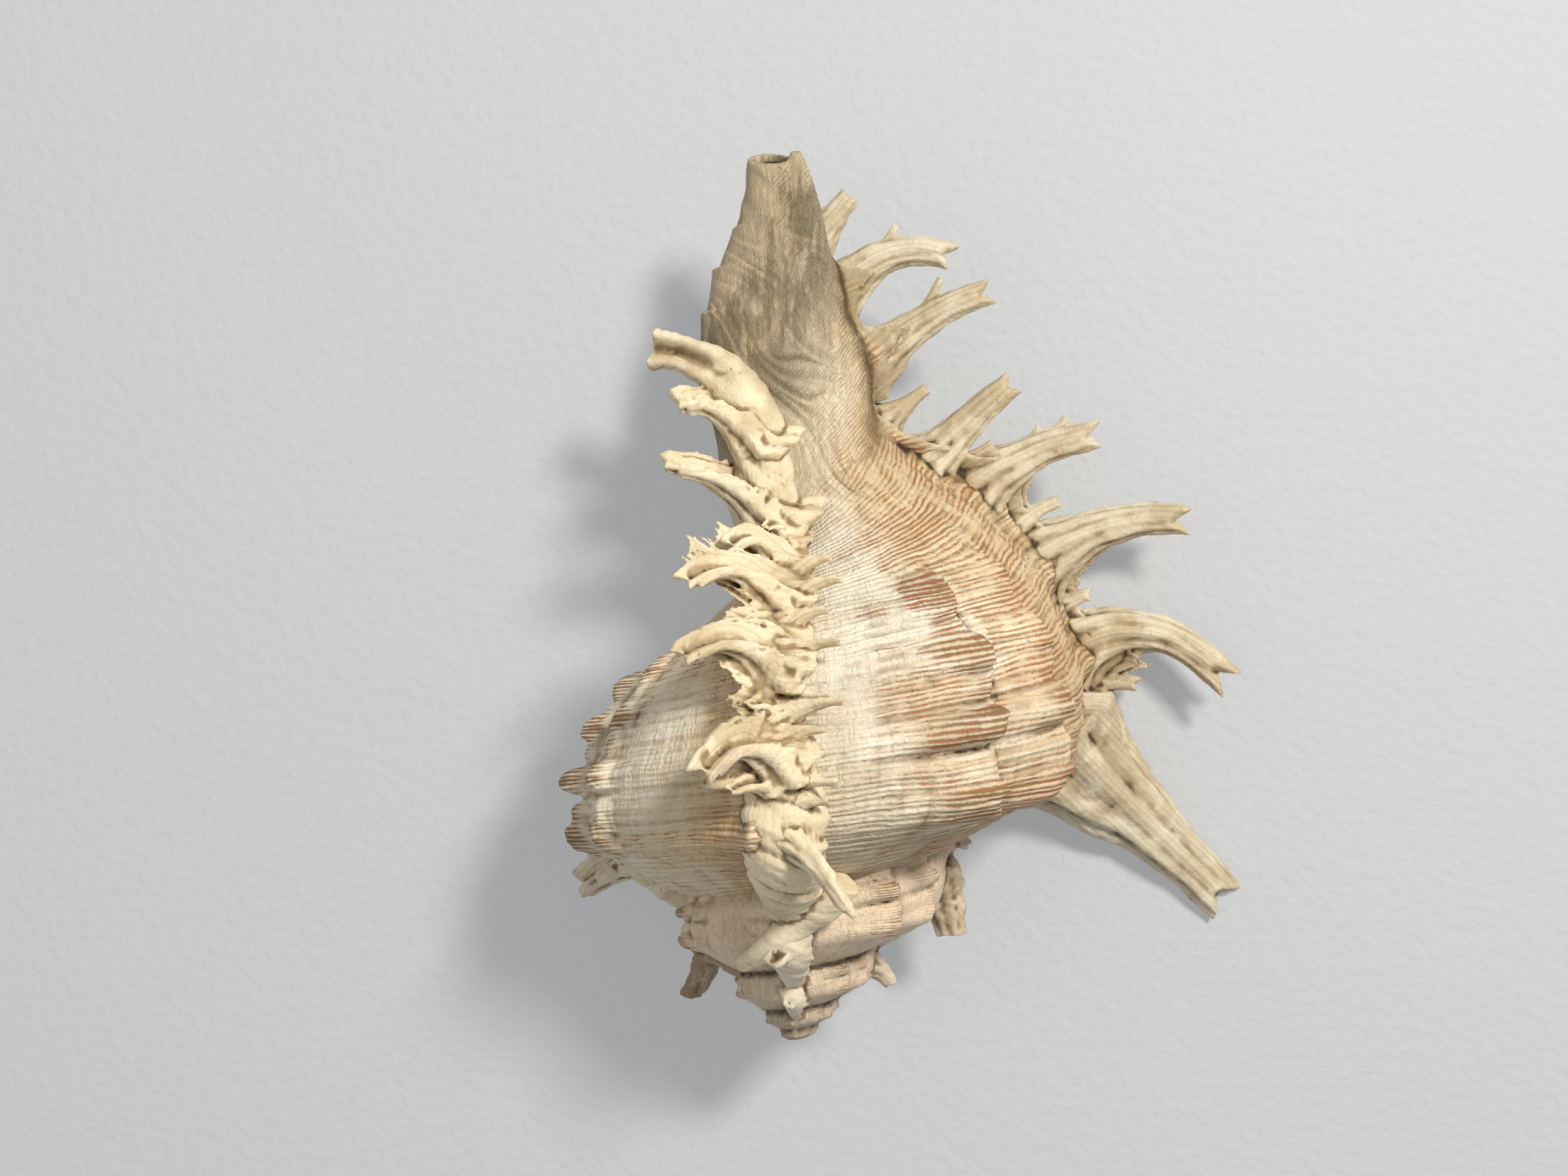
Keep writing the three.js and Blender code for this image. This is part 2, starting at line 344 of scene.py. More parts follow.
def outlineMesh():
    tangent = runOf(outline)
    core = np.array([(3, 163), (1, 150), (1, 125), (1, 100), (1, 75), (1, 52)])
    still = np.zeros(len(core))

    # round the wall, back along the core and to the start again
    def loop(wall, inside):
        return np.concatenate([wall, inside, wall[:1]])

    values = {
        "distance": loop(outline[:, 0], core[:, 0]), "height": loop(outline[:, 1], core[:, 1]),
        "wall": loop(np.ones(len(outline)), still), "out": loop(tangent[:, 1], still),
        "up": loop(-tangent[:, 0], still), "length": loop(outlineLengths, still + outlineLengths[-1]),
    }
    return pointMesh("outline", np.zeros((len(values["wall"]), 3)), values)


def whorlTree():
    tree = GrowTree("whorls", {
        "Outline": "Object", "First": 0, "Count": 1, "Rows": whorl["rows"], "Columns": 228,
        "Growth": growth["ratio"], "Lip Azimuth": growth["lipAzimuth"], "Spacing": growth["spacing"],
        "Ridge Height": whorl["ridgeHeight"], "Ridge Width": whorl["ridgeWidth"],
        "Ridge Fades": whorl["ridgeFades"], "Ridge Lean": whorl["ridgeLean"],
        "Knob Height": whorl["knobHeight"], "Lesser Knob Height": whorl["lesserKnobHeight"],
        "Cord Height": whorl["cordHeight"], "Wrinkle Height": whorl["wrinkleHeight"],
        "Overhang": whorl["overhang"], "Overlap": whorl["overlap"], "Seed": 3.0,
    })
    given = tree.given
    points = tree.add("GeometryNodeMeshLine", None, {"Count": given["Count"]})
    points = tree.store(points, "sector", tree.add("GeometryNodeInputIndex") + given["First"])
    shape = tree.onPoints(points, tree.sheet(given["Rows"], given["Columns"]))
    column, sector, profile = tree.stored("column"), tree.stored("sector"), tree.shapeOf("Outline")
    distance, height, wall, out, up, length = (
        tree.picked(profile, name, column) for name in ("distance", "height", "wall", "out", "up", "length"))

    inner, closed = tree.between(given["Rows"])
    onward = (inner / (given["Rows"] - 3)) ** 1.7
    behind = onward * (given["Spacing"] + given["Overhang"] + given["Overlap"]) - given["Overhang"]
    age = sector * given["Spacing"] + behind
    size = given["Growth"] ** (age * -1)

    # a hill or a block at each of the listed heights; the first has a width of its own
    def everyOne(bump, key, halfWidth, firstHalf):
        first, *others = whorl[key]
        return sum((bump(height, at, halfWidth) for at in others), bump(height, first, firstHalf))

    since = tree.atLeast(behind, 0.0)
    fade = tree.add("ShaderNodeClamp", None, {0: (given["Ridge Fades"] - height) / 25, 1: 0.2, 2: 1.0})
    webs = 0.62 + 0.55 * everyOne(tree.hill, "cordsAt", 5.5, 8)
    crest = tree.exp((since / given["Ridge Width"]) ** 1.15 * -1)
    pastLip = tree.ease(behind * -1, 0.0, given["Overhang"])
    ridge = given["Ridge Height"] * fade * webs * crest * (1 - 0.3 * pastLip) * tree.ease(height, 48, 64)

    rough = tree.noise(tree.joined(length * 0.05, age * 9, sector + given["Seed"]), 1.0, 2)
    rows, between = everyOne(tree.block, "knobsAt", 4.7, 6), everyOne(tree.block, "lesserRows", 3.2, 3.2)

    # a knob climbs slowly and drops off steeply towards the lip
    def step(middle, gentle, steep):
        past = behind + (rough - 0.5) * 0.035 - middle
        width = steep + (gentle - steep) * tree.ease(past, -0.002, 0.002)
        return tree.exp((past / width) ** 2 * -1)

    swell = given["Knob Height"] * step(0.205, 0.042, 0.006) + given["Lesser Knob Height"] * step(0.140, 0.026, 0.006)
    knob = (rows + between * 0.5 + 0.05) * swell * tree.ease(height, 55, 68) * tree.ease(height * -1, -140, -124)

    cords = sum((tree.hill(height, at, 4) for at in whorl["cordsAt"]),
                0.5 * everyOne(tree.hill, "minorCordsAt", 2.6, 2.6))
    cords = cords * given["Cord Height"] * (0.8 + 1.6 * tree.exp(since / -0.05))
    weave = tree.noise(tree.joined(length * 0.06, age * 14, sector), 1.0, 2) * 2.5
    worn = tree.ease(age, 0.8, 1.1)
    threads = tree.sin((length + weave) * (2 * math.pi / 3.3)) * 0.22 * (1 - 0.7 * worn)
    lines = tree.noise(tree.joined(length * 0.035, age * 75, given["Seed"]), 1.0, 3)
    folds = tree.noise(tree.joined(length * 0.02, age * 22, given["Seed"] + 7), 1.0, 2)
    relief = cords + threads + (lines - 0.5) * given["Wrinkle Height"] + (folds - 0.5) * 2.2
    under = tree.ease(behind, given["Spacing"] - 0.002, given["Spacing"] + 0.012) * -3.0
    relief = (relief + under) * wall
    wide = distance + (ridge + knob) * wall + relief * out
    tall = height + relief * up
    azimuth = given["Lip Azimuth"] + age * (2 * math.pi)
    azimuth = azimuth + given["Ridge Lean"] * ridge * crest * wall / (distance + 12)
    wide = wide * closed + 2.0 * (1 - closed)
    tall = tall * closed + 100.0 * (1 - closed)
    position = tree.joined(wide * tree.cos(azimuth) * size, tall * size,
                           wide * tree.sin(azimuth) * size)
    return tree.finish(shape, position, {
        "age": age, "across": length, "behind": behind * 3, "knob": knob * wall, "kind": ridge * 0.03})


# ---- spines
# a spine by the height of its root, how far its tip reaches and rises, its rise half way, its lean back
# in degrees, and its half widths at root and tip
def spine(at, reach, rise, mid, lean, root, tip, **more):
    return {"at": at, "reach": reach, "rise": rise, "mid": mid, "lean": lean, "root": root, "tip": tip, **more}


shoulderHeight = 70
spines = {
    "whorl": [
        spine(84, 16, 0, 1, 35, 5, 1.5),
        spine(91, 37, -3.5, 6, 42, 9, 3.2, kept=(1, 0.84, 0.35), fork=0.1, middleLean=28),
        spine(103, 9, 3, 2, 40, 4, 1.3),
        spine(113.5, 36, 11, 9.5, 45, 8.5, 3, kept=(1, 0.86, 1)),
        spine(121, 12, 8, 5, 40, 4, 1.3),
        spine(131, 30, 13, 9, 48, 7.5, 3),
        spine(135, 10, 7, 4, 40, 3.5, 1.2),
        spine(139, 19, 17, 8.5, 45, 5.5, 2.8),
        spine(148, 9, 7, 3.5, 40, 4, 1.2),
    ],
    "canal": [
        spine(159, 29, 17.5, 11, 42, 7, 2.6, start=17),
        spine(175, 27, 9.7, 10.5, 40, 6.5, 2.6, start=9),
        spine(188, 9, 11, 5.5, 30, 4.5, 2.2, start=4),
    ],
    "shoulder": [
        spine(shoulderHeight, 42.5, -38, -19, 15, 16, 4.2, taper=3.0),
        spine(shoulderHeight, 26, -16, -4, -50, 7, 2.8),
        spine(shoulderHeight, 24.5, -15.5, -5.5, -22, 15, 6),
        spine(shoulderHeight, 9, -22, -7, 15, 15, 6),
        spine(shoulderHeight, 12, -8, -3, 40, 9, 4),
        spine(shoulderHeight, 24, -36, -14, 10, 17, 12),
        spine(shoulderHeight, 20, -18, -6, 15, 14, 6),
        spine(shoulderHeight, 9, -8, -3, 15, 12, 5),
        spine(shoulderHeight, 12, -8, -2, 15, 12, 5),
    ],
    # the share of their length that the spines of the newest three varices keep
    "kept": (1, 1.05, 0.7),
    # small tips that reach over the seam of the middle varix: height, reach, rise
    "seamTips": [(78, 14, 2), (86, 17, -1), (95, 13, 3), (100, 18, 5), (108, 14, -2), (117, 17, 3),
                 (124, 13, 4), (129, 17, 7), (136, 13, 6)],
    "rows": 56,
    "sides": 36,
    # side twigs of the lip's spines: which spine, where along it, how far the twig reaches and rises, half width
    "twigs": [
        ("whorl", 1, 0.3, 19, 1.5, 1.5), ("whorl", 1, 0.12, 7, 7, 1.3), ("whorl", 3, 0.35, 6, 7, 1.3),
        ("whorl", 3, 0.72, 5, 4, 1.0), ("whorl", 5, 0.42, 4.5, 8, 1.2), ("whorl", 5, 0.5, 9, 8.5, 1.7),
        ("canal", 0, 0.35, 9, 13, 1.8), ("canal", 1, 0.35, 6, 9, 1.7), ("canal", 2, 0.1, 1, 8, 1.4),
        ("shoulder", 0, 0.62, 5, 6, 1.1), ("shoulder", 0, 0.2, 4, 7, 1.2),
    ],
}


def spineRecord(spec, age, kept=1):
    onLip = age < 0.1
    lean = math.radians(spec["lean"])
    outward, backward, size = bearings(age)
    distance = spec.get("start") or outlineAt(spec["at"]) + 0.6 * whorl["ridgeHeight"]
    return {
        "root": placed(age, distance, spec["at"]), "heading": outward * math.cos(lean) + backward * math.sin(lean),
        **{key: spec[key] * kept * size for key in ("reach", "rise", "mid")},
        "rootHalf": spec["root"] * size, "tipHalf": spec["tip"] * size,
        "back": (9, 3.5, 4, 4)[min(3, round(age * 3))], "groove": 1.35, "fork": spec.get("fork", 0.07),
        "acrossRoot": acrossAt(spec["at"]), "ofAge": age, "unit": size,
        "twist": math.radians(0 if onLip else 52), "taper": spec.get("taper", 3.8 if onLip else 2.5),
    }


# a smaller gutter inside a spine, set towards the growing edge, that draws in to the spine's tip
def nestedRecord(parent):
    heading, share = parent["heading"], 0.9
    younger = np.array([heading[2], 0, -heading[0]])
    step = (younger * 1.5 + np.array([0, 0.7, 0])) * parent["unit"]
    reached = heading * parent["reach"] * share - step * np.array([1, 0, 1]) * 0.8
    length = math.hypot(reached[0], reached[2])
    rise = parent["rise"] * share - step[1] * 0.8
    return {**parent, "root": parent["root"] + step, "heading": reached / length, "reach": length, "rise": rise,
            "mid": parent["mid"] * share - step[1] * 0.4, "rootHalf": parent["rootHalf"] * share,
            "tipHalf": parent["tipHalf"] * 0.84, "groove": 1.6, "fork": 0.04}


def twigRecord(spec, parent, t, reach, rise, half):
    up = 4 * t * (1 - t) * (spec["mid"] - spec["rise"] / 2) + spec["rise"] * t
    root = parent["root"] + parent["heading"] * spec["reach"] * t + np.array([0, up, 0])
    return {**parent, "root": root, "reach": reach, "rise": rise, "mid": rise * 0.42, "rootHalf": half * 1.7,
            "tipHalf": half * 0.45, "back": 2.0, "groove": 0.8, "fork": 0.03}


def spineRecords(index):
    age = index * growth["spacing"]
    records = []
    if index < len(spines["shoulder"]):
        records.append(spineRecord(spines["shoulder"][index], age))
    if index < 3:
        for spec in spines["whorl"]:
            if index == 1:
                spec = {**spec, "lean": spec.get("middleLean", spec["lean"])}
            whole = spineRecord(spec, age, spec.get("kept", spines["kept"])[index])
            if index == 1:
                whole.update(rootHalf=whole["rootHalf"] * 1.15, tipHalf=whole["tipHalf"] * 0.8,
                             rise=whole["rise"] * 0.42, groove=1.65)
            records.append(whole)
            if index == 1 and spec["reach"] > 15:
                records.append(nestedRecord(whole))
    if index == 1:
        for at, reach, rise in spines["seamTips"]:
            records.append(spineRecord(spine(at, reach, rise, rise * 0.8, -62, 4.2, 0.8), age - 0.004))
    if index == 3:
        records.append(spineRecord(spines["whorl"][1], age, 0.35))
    if index == 0:
        records += [spineRecord(spec, age) for spec in spines["canal"]]
        for group, which, t, reach, rise, half in spines["twigs"]:
            spec = spines[group][which]
            records.append(twigRecord(spec, spineRecord(spec, 0), t, reach, rise, half))
    return records


def spineTree():
    tree = GrowTree("spines", {
        "Rows": spines["rows"], "Sides": spines["sides"] + 1, "Thickness": 0.74, "Rib": 0.1, "Roughness": 0.5})
    given = tree.given
    shape = tree.onPoints(given["Geometry"], tree.sheet(given["Rows"], given["Sides"]))
    reach, rise, mid, rootHalf, tipHalf, back, groove = map(
        tree.stored, ("reach", "rise", "mid", "rootHalf", "tipHalf", "back", "groove"))
    fork, acrossRoot, ofAge, unit, twist, taper = map(
        tree.stored, ("fork", "acrossRoot", "ofAge", "unit", "twist", "taper"))
    root, heading = tree.stored("root", "FLOAT_VECTOR"), tree.stored("heading", "FLOAT_VECTOR")
    turn, side, face = tree.around()
    inner, closed = tree.between(given["Rows"])
    share = back / reach
    along = inner / (given["Rows"] - 3) * (share + 1) - share
    t = tree.atLeast(along, 0.0)
    bend = mid - rise / 2
    lift = 4 * t * (1 - t) * bend + rise * t
    slope = 4 * (1 - 2 * t) * bend + rise
    half = tipHalf * (1.4 - 0.35 * t) + (rootHalf * 1.25 - 1.4 * tipHalf) * tree.exp(t * taper * -1)
    up = (0, 1, 0)
    run = tree.vector("NORMALIZE", tree.vector("ADD", tree.scaled(heading, reach), tree.scaled(up, slope)))
    wide = tree.vector("NORMALIZE", tree.vector("SUBTRACT", tree.scaled(up, reach), tree.scaled(heading, slope)))
    flat = tree.vector("CROSS_PRODUCT", wide, run)
    level, tipped = tree.cos(twist), tree.sin(twist)
    wide, flat = (tree.vector("SUBTRACT", tree.scaled(wide, level), tree.scaled(flat, tipped)),
                  tree.vector("ADD", tree.scaled(flat, level), tree.scaled(wide, tipped)))
    # the side towards the growing edge is open as a gutter with a ragged rim, and the tip frays at both edges
    open_ = tree.ease(face, 0.0, 0.35) * tree.hill(side, 0.0, 0.55) * tree.ease(along, -0.05, 0.25)
    grain = tree.noise(tree.summed(tree.scaled(root, 0.7), tree.joined(along * 5, side * 1.2, face)), 1.0, 3)
    tearing = tree.summed(tree.scaled(root, 0.9), tree.joined(along * reach * 0.42, side, 0.0))
    torn = tree.noise(tearing, 1.0, 3, 0.7)
    rim = tree.ease(tree.maths("ABSOLUTE", side), 0.55, 0.9) * tree.ease(face, -0.15, 0.3)
    rim = rim * tree.ease(along, 0.0, 0.2)
    ribs = 1 + given["Rib"] * tree.cos(turn * 8) + (grain - 0.5) * given["Roughness"]
    a = side * half * ribs
    b = face * half * ribs * given["Thickness"] * (1 - groove * open_) + rim * half * (torn * 1.5 - 0.55)
    fray = tree.ease(along, 0.62, 1.0) * reach * (fork * (side * side - 0.4) * 2 + (torn - 0.5) * 0.16)
    wobble = tree.noise(tree.summed(root, tree.joined(along * 2.2, 3.0, 0.0)), 1.0, 1)
    a = (a * closed) + (wobble - 0.5) * half * 1.1 * t
    b = b * closed
    position = tree.summed(root, tree.scaled(heading, reach * along), tree.scaled(up, lift),
                           tree.scaled(wide, a), tree.scaled(flat, b), tree.scaled(run, fray * closed))
    return tree.finish(shape, position, {
        "age": ofAge, "across": acrossRoot + a / unit, "behind": 0.0, "knob": 0.0, "kind": 0.5 + 0.5 * t})


# ---- frills: thin upright sheets that follow a varix, one behind the other
frill = {
    "counts": (2, 6, 4, 2, 2, 2, 1, 1, 1),
    "step": 1.7,
    "base": (5.4, 3.2, 3.0, 2.0, 2.0, 2.0, 2.0, 2.0, 2.0),
    "peakShare": (0.42, 0.5, 0.5, 0.3, 0.2, 0.3, 0.3, 0.3, 0.3),
    "peakWidth": 4.4,
    "lean": (40, 14, 18, 20, 20, 20, 20, 20, 20),
    "peakLean": (4, 46, 34, 10, 10, 10, 10, 10, 10),
    "fold": (1.5, 3.0, 2.5, 1.5, 1.5, 1.5, 1.5, 1.5, 1.5),
    "thickness": 0.6,
    "ruffle": 2.4,
    "rows": 420,
    "sides": 19,
    "ridgeTop": 150,
}


def frillTree():
    tree = GrowTree("frills", {
        "Rows": frill["rows"], "Sides": frill["sides"], "Order": 0.0, "Ragged": 0.6, "Ruffle": frill["ruffle"],
        "Thickness": frill["thickness"], "Root": 3.5, "Of Age": 0.0, "Unit": 1.0, "Kind": 0.4})
    given = tree.given
    shape = tree.sheet(given["Rows"] + 2, given["Sides"])
    inner, closed = tree.between(given["Rows"] + 2)
    path = given["Geometry"]
    foot, outward, backward = (
        tree.picked(path, name, inner, "FLOAT_VECTOR") for name in ("foot", "outward", "backward"))
    stand, lean, tilt, fold, length = (
        tree.picked(path, name, inner) for name in ("stand", "lean", "tilt", "fold", "length"))
    _, upright, sideways = tree.around()
    upward = (upright + 1) * 0.5 * closed
    ragged = tree.noise(tree.joined(length * 0.55, given["Order"] * 3.7, given["Of Age"] * 31), 1.0, 3, 0.7)
    wave = tree.noise(tree.joined(length * 0.30, given["Order"] * 1.3, given["Of Age"] * 17 + 20), 1.0, 2)
    tall = stand * (1 + given["Ragged"] * (ragged - 0.5) * 1.6)
    reach = upward * (tall + given["Root"]) - given["Root"]
    share = tree.atLeast(reach / (tall + 0.1), 0.0)
    chord = lean * (0.3 + 0.7 * share)
    ribs = 1 + 0.1 * tree.cos(length * (2 * math.pi / 2.3) + given["Order"] * 2)
    thick = tree.atLeast(given["Thickness"] * given["Unit"], 0.45)
    across = sideways * closed * thick * ribs * (1.6 - 0.7 * upward)
    back = reach * tree.sin(chord) + (fold + (wave - 0.5) * 2 * given["Ruffle"]) * share
    out = reach * tree.cos(chord)
    position = tree.summed(foot, tree.scaled(outward, out * given["Unit"]),
                           tree.scaled(backward, back * given["Unit"] + across),
                           tree.joined(0.0, reach * tilt * share * given["Unit"], 0.0))
    return tree.finish(shape, position, {
        "age": given["Of Age"], "across": length, "behind": 0.0, "knob": 0.0, "kind": given["Kind"] + 0.55 * share})


def frillPath(index, order):
    age = index * growth["spacing"]
    outward, backward, size = bearings(age)
    top = outlineLengths[np.argmin(abs(outline[:, 1] - frill["ridgeTop"]))]
    total = top + (53 if index == 0 else 2)
    length = np.linspace(4, total, frill["rows"])
    r, h = (np.interp(length, outlineLengths, values) for values in outline.T)
    h = np.where(length > top, frill["ridgeTop"] + (length - top), h)
    fade = np.clip((whorl["ridgeFades"] - h) / 25, 0.2, 1)
    steepness = np.clip((h - 52) / 14, 0, 1)
    foot = placed(age, 1, 0) * (r + whorl["ridgeHeight"] * 0.62 * fade * steepness)[:, None]
    foot[:, 1] = h * size
    if index == 0:
        stations = smoothPath(canal["stations"], 200)
        edge = np.stack([np.interp(h, stations[:, 1], stations[:, 0] + stations[:, 3] * 0.8), h,
                         np.interp(h, stations[:, 1], stations[:, 2]) - 1], axis=1)
        share = np.clip((h - 138) / 16, 0, 1)[:, None]
        share = share * share * (3 - 2 * share)
        foot = foot * (1 - share) + edge * share
    # for a varix that lies behind the lip the younger sheets stand nearer to the lip
    shift = (order * frill["step"] - 1.0) * (1 if index == 0 else -1)
    sway = np.interp(length, np.arange(0, 260, 7), np.random.default_rng(40 + index).uniform(-1.8, 1.8, 38))
    foot = foot + backward * (shift + sway)[:, None] * size
    stand = np.full(len(h), frill["base"][index]) * (0.45 + 0.55 * steepness)
    tilt, fold, weight = np.zeros(len(h)), np.zeros(len(h)), np.full(len(h), 0.05)
    followed = [*spines["whorl"], spines["shoulder"][index]]
    if index == 0:
        followed = [spec for spec in followed + spines["canal"] if spec["reach"] >= 20]
    for spec in followed:
        at = spec["at"] + order * 0.9
        kept = 1
        if spec["at"] != shoulderHeight:
            kept = spec.get("kept", spines["kept"])[index] if index < 3 else 0.25
        width = frill["peakWidth"] * (0.6 + spec["reach"] / 60)
        peak = np.exp(-(abs(h - at) / width) ** 1.35)
        stand += peak * spec["reach"] * kept * frill["peakShare"][index]
        fold += peak * frill["fold"][index]
        tilt += peak * spec["rise"] / spec["reach"]
        weight += peak
    stand *= max(0.35, 1 - 0.14 * order)
    stand *= np.clip((h - 77) / 7, 0.02, 1) if index else np.clip((h - 66) / 16, 0.1, 1)
    stand *= np.clip((length - 4) / 8, 0.05, 1) * np.clip((total - length) / 4, 0.1, 1)
    lean = np.radians(frill["lean"][index] + frill["peakLean"][index] * np.clip(weight - 0.05, 0, 1))
    values = {"foot": foot, "outward": np.tile(outward, (len(h), 1)), "backward": np.tile(backward, (len(h), 1)),
              "stand": stand, "lean": lean, "tilt": tilt / weight, "fold": fold, "length": length}
    return pointMesh("frillPath", foot, values)


# ---- canal, and the ends of older canals
canal = {
    # x, y, z, half width across, half width through
    "stations": [
        (0, 60, 0, 8, 6), (0, 88, 0, 11, 8), (0.5, 112, -1, 14, 9.5), (0, 130, -2, 18, 12),
        (-1.5, 147, -1, 19, 12.8), (-5.4, 162, 1, 18.6, 12), (-7.4, 174, 3, 14.2, 10.5),
        (-5.6, 188, 7, 9.6, 8), (-6, 198, 11, 6.2, 6), (-6.1, 205, 14.5, 5.1, 4.8),
    ],
    "stub": [
        (-2, 112, 12, 8, 8), (-7, 128, 14, 7, 7.5), (-9.5, 145, 15, 6.4, 6.5), (-17, 156, 14, 5.4, 5.4),
        (-26, 161, 12, 4.2, 4), (-33, 162.5, 10, 4.8, 4.2),
    ],
    # root, then reach, rise, rise half way, heading
    "stubSpines": [
        ((-4, 123, 13), 27, 13, 9.5, (-0.914, 0, 0.406), 8.5, 2.7),
        ((-8, 140, 14), 20, 10, 8.5, (-0.932, 0, 0.363), 7.5, 3.1),
    ],
    # over the shoulder of a varix: distance, height, half width across, half width through
    "collar": [
        (62, 94, 5, 5), (67, 86, 8.5, 7), (71, 76, 11, 8.5), (67, 65, 10.5, 8), (56, 57, 9, 7), (45, 51, 7.5, 6),
        (35, 45, 5, 4.5),
    ],
    # the end of the middle varix's roll on the spire, and a lobe beside the canal's tip, as the canal's stations
    "trail": [
        (9, 45, 38, 5, 4.5), (6, 40, 36, 4.5, 4), (1.5, 36, 32.5, 4, 3.4), (-5, 30, 29.5, 3.2, 2.8),
        (-13, 24, 25, 1.8, 1.6),
    ],
    "lobe": [
        (2, 170, 6, 8, 5), (2, 184, 9, 6.4, 4.2), (0.8, 194, 11.5, 4.6, 3.6), (0.2, 201, 14, 3, 2.8),
        (-0.4, 206.5, 16, 1.2, 1.4),
    ],
    # where the canal's left edge goes out, and by how much
    "steps": [(191, 1.2), (182, 2.2), (172, 2.4), (163, 1.8)],
    "bore": (6, 3.9),
    "slit": 1.0,
    "rows": 90,
    "sides": 60,
}


def tubeTree():
    tree = GrowTree("tube", {
        "Rows": canal["rows"], "Sides": canal["sides"] + 1, "Wide": (1, 0, 0), "Groove": 0.0, "Folds": 0.5,
        "Of Age": 0.0, "Kind": 0.3})
    given = tree.given
    shape = tree.sheet(given["Rows"] + 2, given["Sides"])
    inner, closed = tree.between(given["Rows"] + 2)
    path = given["Geometry"]
    centre, run = (tree.picked(path, name, inner, "FLOAT_VECTOR") for name in ("centre", "run"))
    across, through = tree.picked(path, "acrossHalf", inner), tree.picked(path, "throughHalf", inner)
    overlap = tree.vector("DOT_PRODUCT", given["Wide"], run, out=1)
    wide = tree.vector("NORMALIZE", tree.vector("SUBTRACT", given["Wide"], tree.scaled(run, overlap)))
    flat = tree.vector("CROSS_PRODUCT", wide, run)
    turn, side, face = tree.around()
    along = inner / (given["Rows"] - 1)
    # growth folds run slantwise over the tube
    slant = tree.joined(side * 0.4, along * 26 + side * 1.6 + face * 0.8, face * 0.4)
    folds = (tree.noise(slant, 0.9, 2) - 0.5) * given["Folds"]
    lines = tree.cos(turn * 26) * 0.012
    gutter = given["Groove"] * tree.ease(face, 0.0, 0.4) * tree.hill(side, 0.0, 0.45) * tree.ease(along, 0.5, 0.85)
    swell = 1 + folds + lines
    position = tree.summed(centre, tree.scaled(wide, side * across * swell * closed),
                           tree.scaled(flat, face * through * swell * closed * (1 - gutter)))
    return tree.finish(shape, position, {
        "age": given["Of Age"], "across": turn * 9 + 200, "behind": along, "knob": 0.0, "kind": given["Kind"],
        "plain": 1.0})


def pathMesh(stations, turn=0.0, size=1.0):
    smooth = smoothPath(stations, canal["rows"])
    centre = smooth[:, :3] @ spun(turn).T * size
    acrossHalf, throughHalf = smooth[:, 3:5].T * size
    values = {"centre": centre, "run": runOf(centre), "acrossHalf": acrossHalf, "throughHalf": throughHalf}
    return pointMesh("path", centre, values)


# ---- hollows that are cut out
def loft(name, rings):
    rings = np.array(rings)
    count = rings.shape[1]
    points = [*rings.reshape(-1, 3), rings[0].mean(axis=0), rings[-1].mean(axis=0)]
    faces = []
    last = (len(rings) - 1) * count
    for i in range(count):
        after = (i + 1) % count
        faces += [(s + i, s + after, s + count + after, s + count + i) for s in range(0, last, count)]
        faces += [(len(points) - 2, after, i), (len(points) - 1, last + i, last + after)]
    mesh = bpy.data.meshes.new(name)
    mesh.from_pydata([tuple(p) for p in points], [], faces)
    outwards(mesh)
    return mesh


def outwards(mesh):
    work = bmesh.new()
    work.from_mesh(mesh)
    bmesh.ops.recalc_face_normals(work, faces=work.faces)
    if work.calc_volume(signed=True) < 0:
        bmesh.ops.reverse_faces(work, faces=work.faces)
    work.to_mesh(mesh)
    work.free()


aperture = {"distance": 37, "height": 93, "halfWidth": 21, "halfHeight": 28, "slant": 0.25, "depth": 0.37}


def apertureHollow():
    rings = []
    turns = np.linspace(0, 2 * math.pi, 64, endpoint=False)
    for age in np.linspace(-0.08, aperture["depth"], 60):
        size = 0.1 + 0.9 * math.sqrt(max(0.0, 1 - (max(0.0, age) / aperture["depth"]) ** 3))
        flare = 1 + 0.16 * math.exp(-max(0.0, age + 0.02) / 0.012)
        up = aperture["halfHeight"] * np.sin(turns) * size * flare
        out = aperture["halfWidth"] * np.cos(turns) * size * flare - aperture["slant"] * up
        rings.append([placed(age, aperture["distance"] + o, aperture["height"] + u) for o, u in zip(out, up)])
    return loft("apertureHollow", rings)


def canalChannel():
    path = [(30, 108, -15), (17, 128, -9)] + [s[:3] for s in canal["stations"][4:]]
    path.append(tuple(np.array(path[-1]) + (1, 8, 5)))
    halves = [np.interp(min(1, i / 7), (0, 1), canal["bore"]) for i in range(len(path))]
    smooth = smoothPath([(*p, h) for p, h in zip(path, halves)], 70)
    rings = []
    turns = np.linspace(0, 2 * math.pi, 48, endpoint=False)
    for (x, y, z, half), along in zip(smooth, runOf(smooth[:, :3])):
        wide = np.array([1, 0, 0]) - along * along[0]
        wide /= np.linalg.norm(wide)
        flat = np.cross(along, wide)
        flat *= -np.sign(flat[2])
        ring = []
        for turn in turns:
            a, b = half * math.cos(turn), half * 0.85 * math.sin(turn)
            # the slit: the lowest stretch of the channel runs out through the under side
            if math.sin(turn) > 0.9 and y > 120 and y < 203:
                b = 26
                a = canal["slit"] * math.copysign(1, math.cos(turn)) * min(1, abs(math.cos(turn)) / 0.2)
            ring.append(np.array([x, y, z]) + wide * a + flat * b)
        rings.append(ring)
    return loft("canalChannel", rings)


# ---- joining: everything of one stretch of growth becomes one skin
fuse = {"voxel": 0.45, "smoothing": 2, "triangles": 195000, "blendRounds": 520}


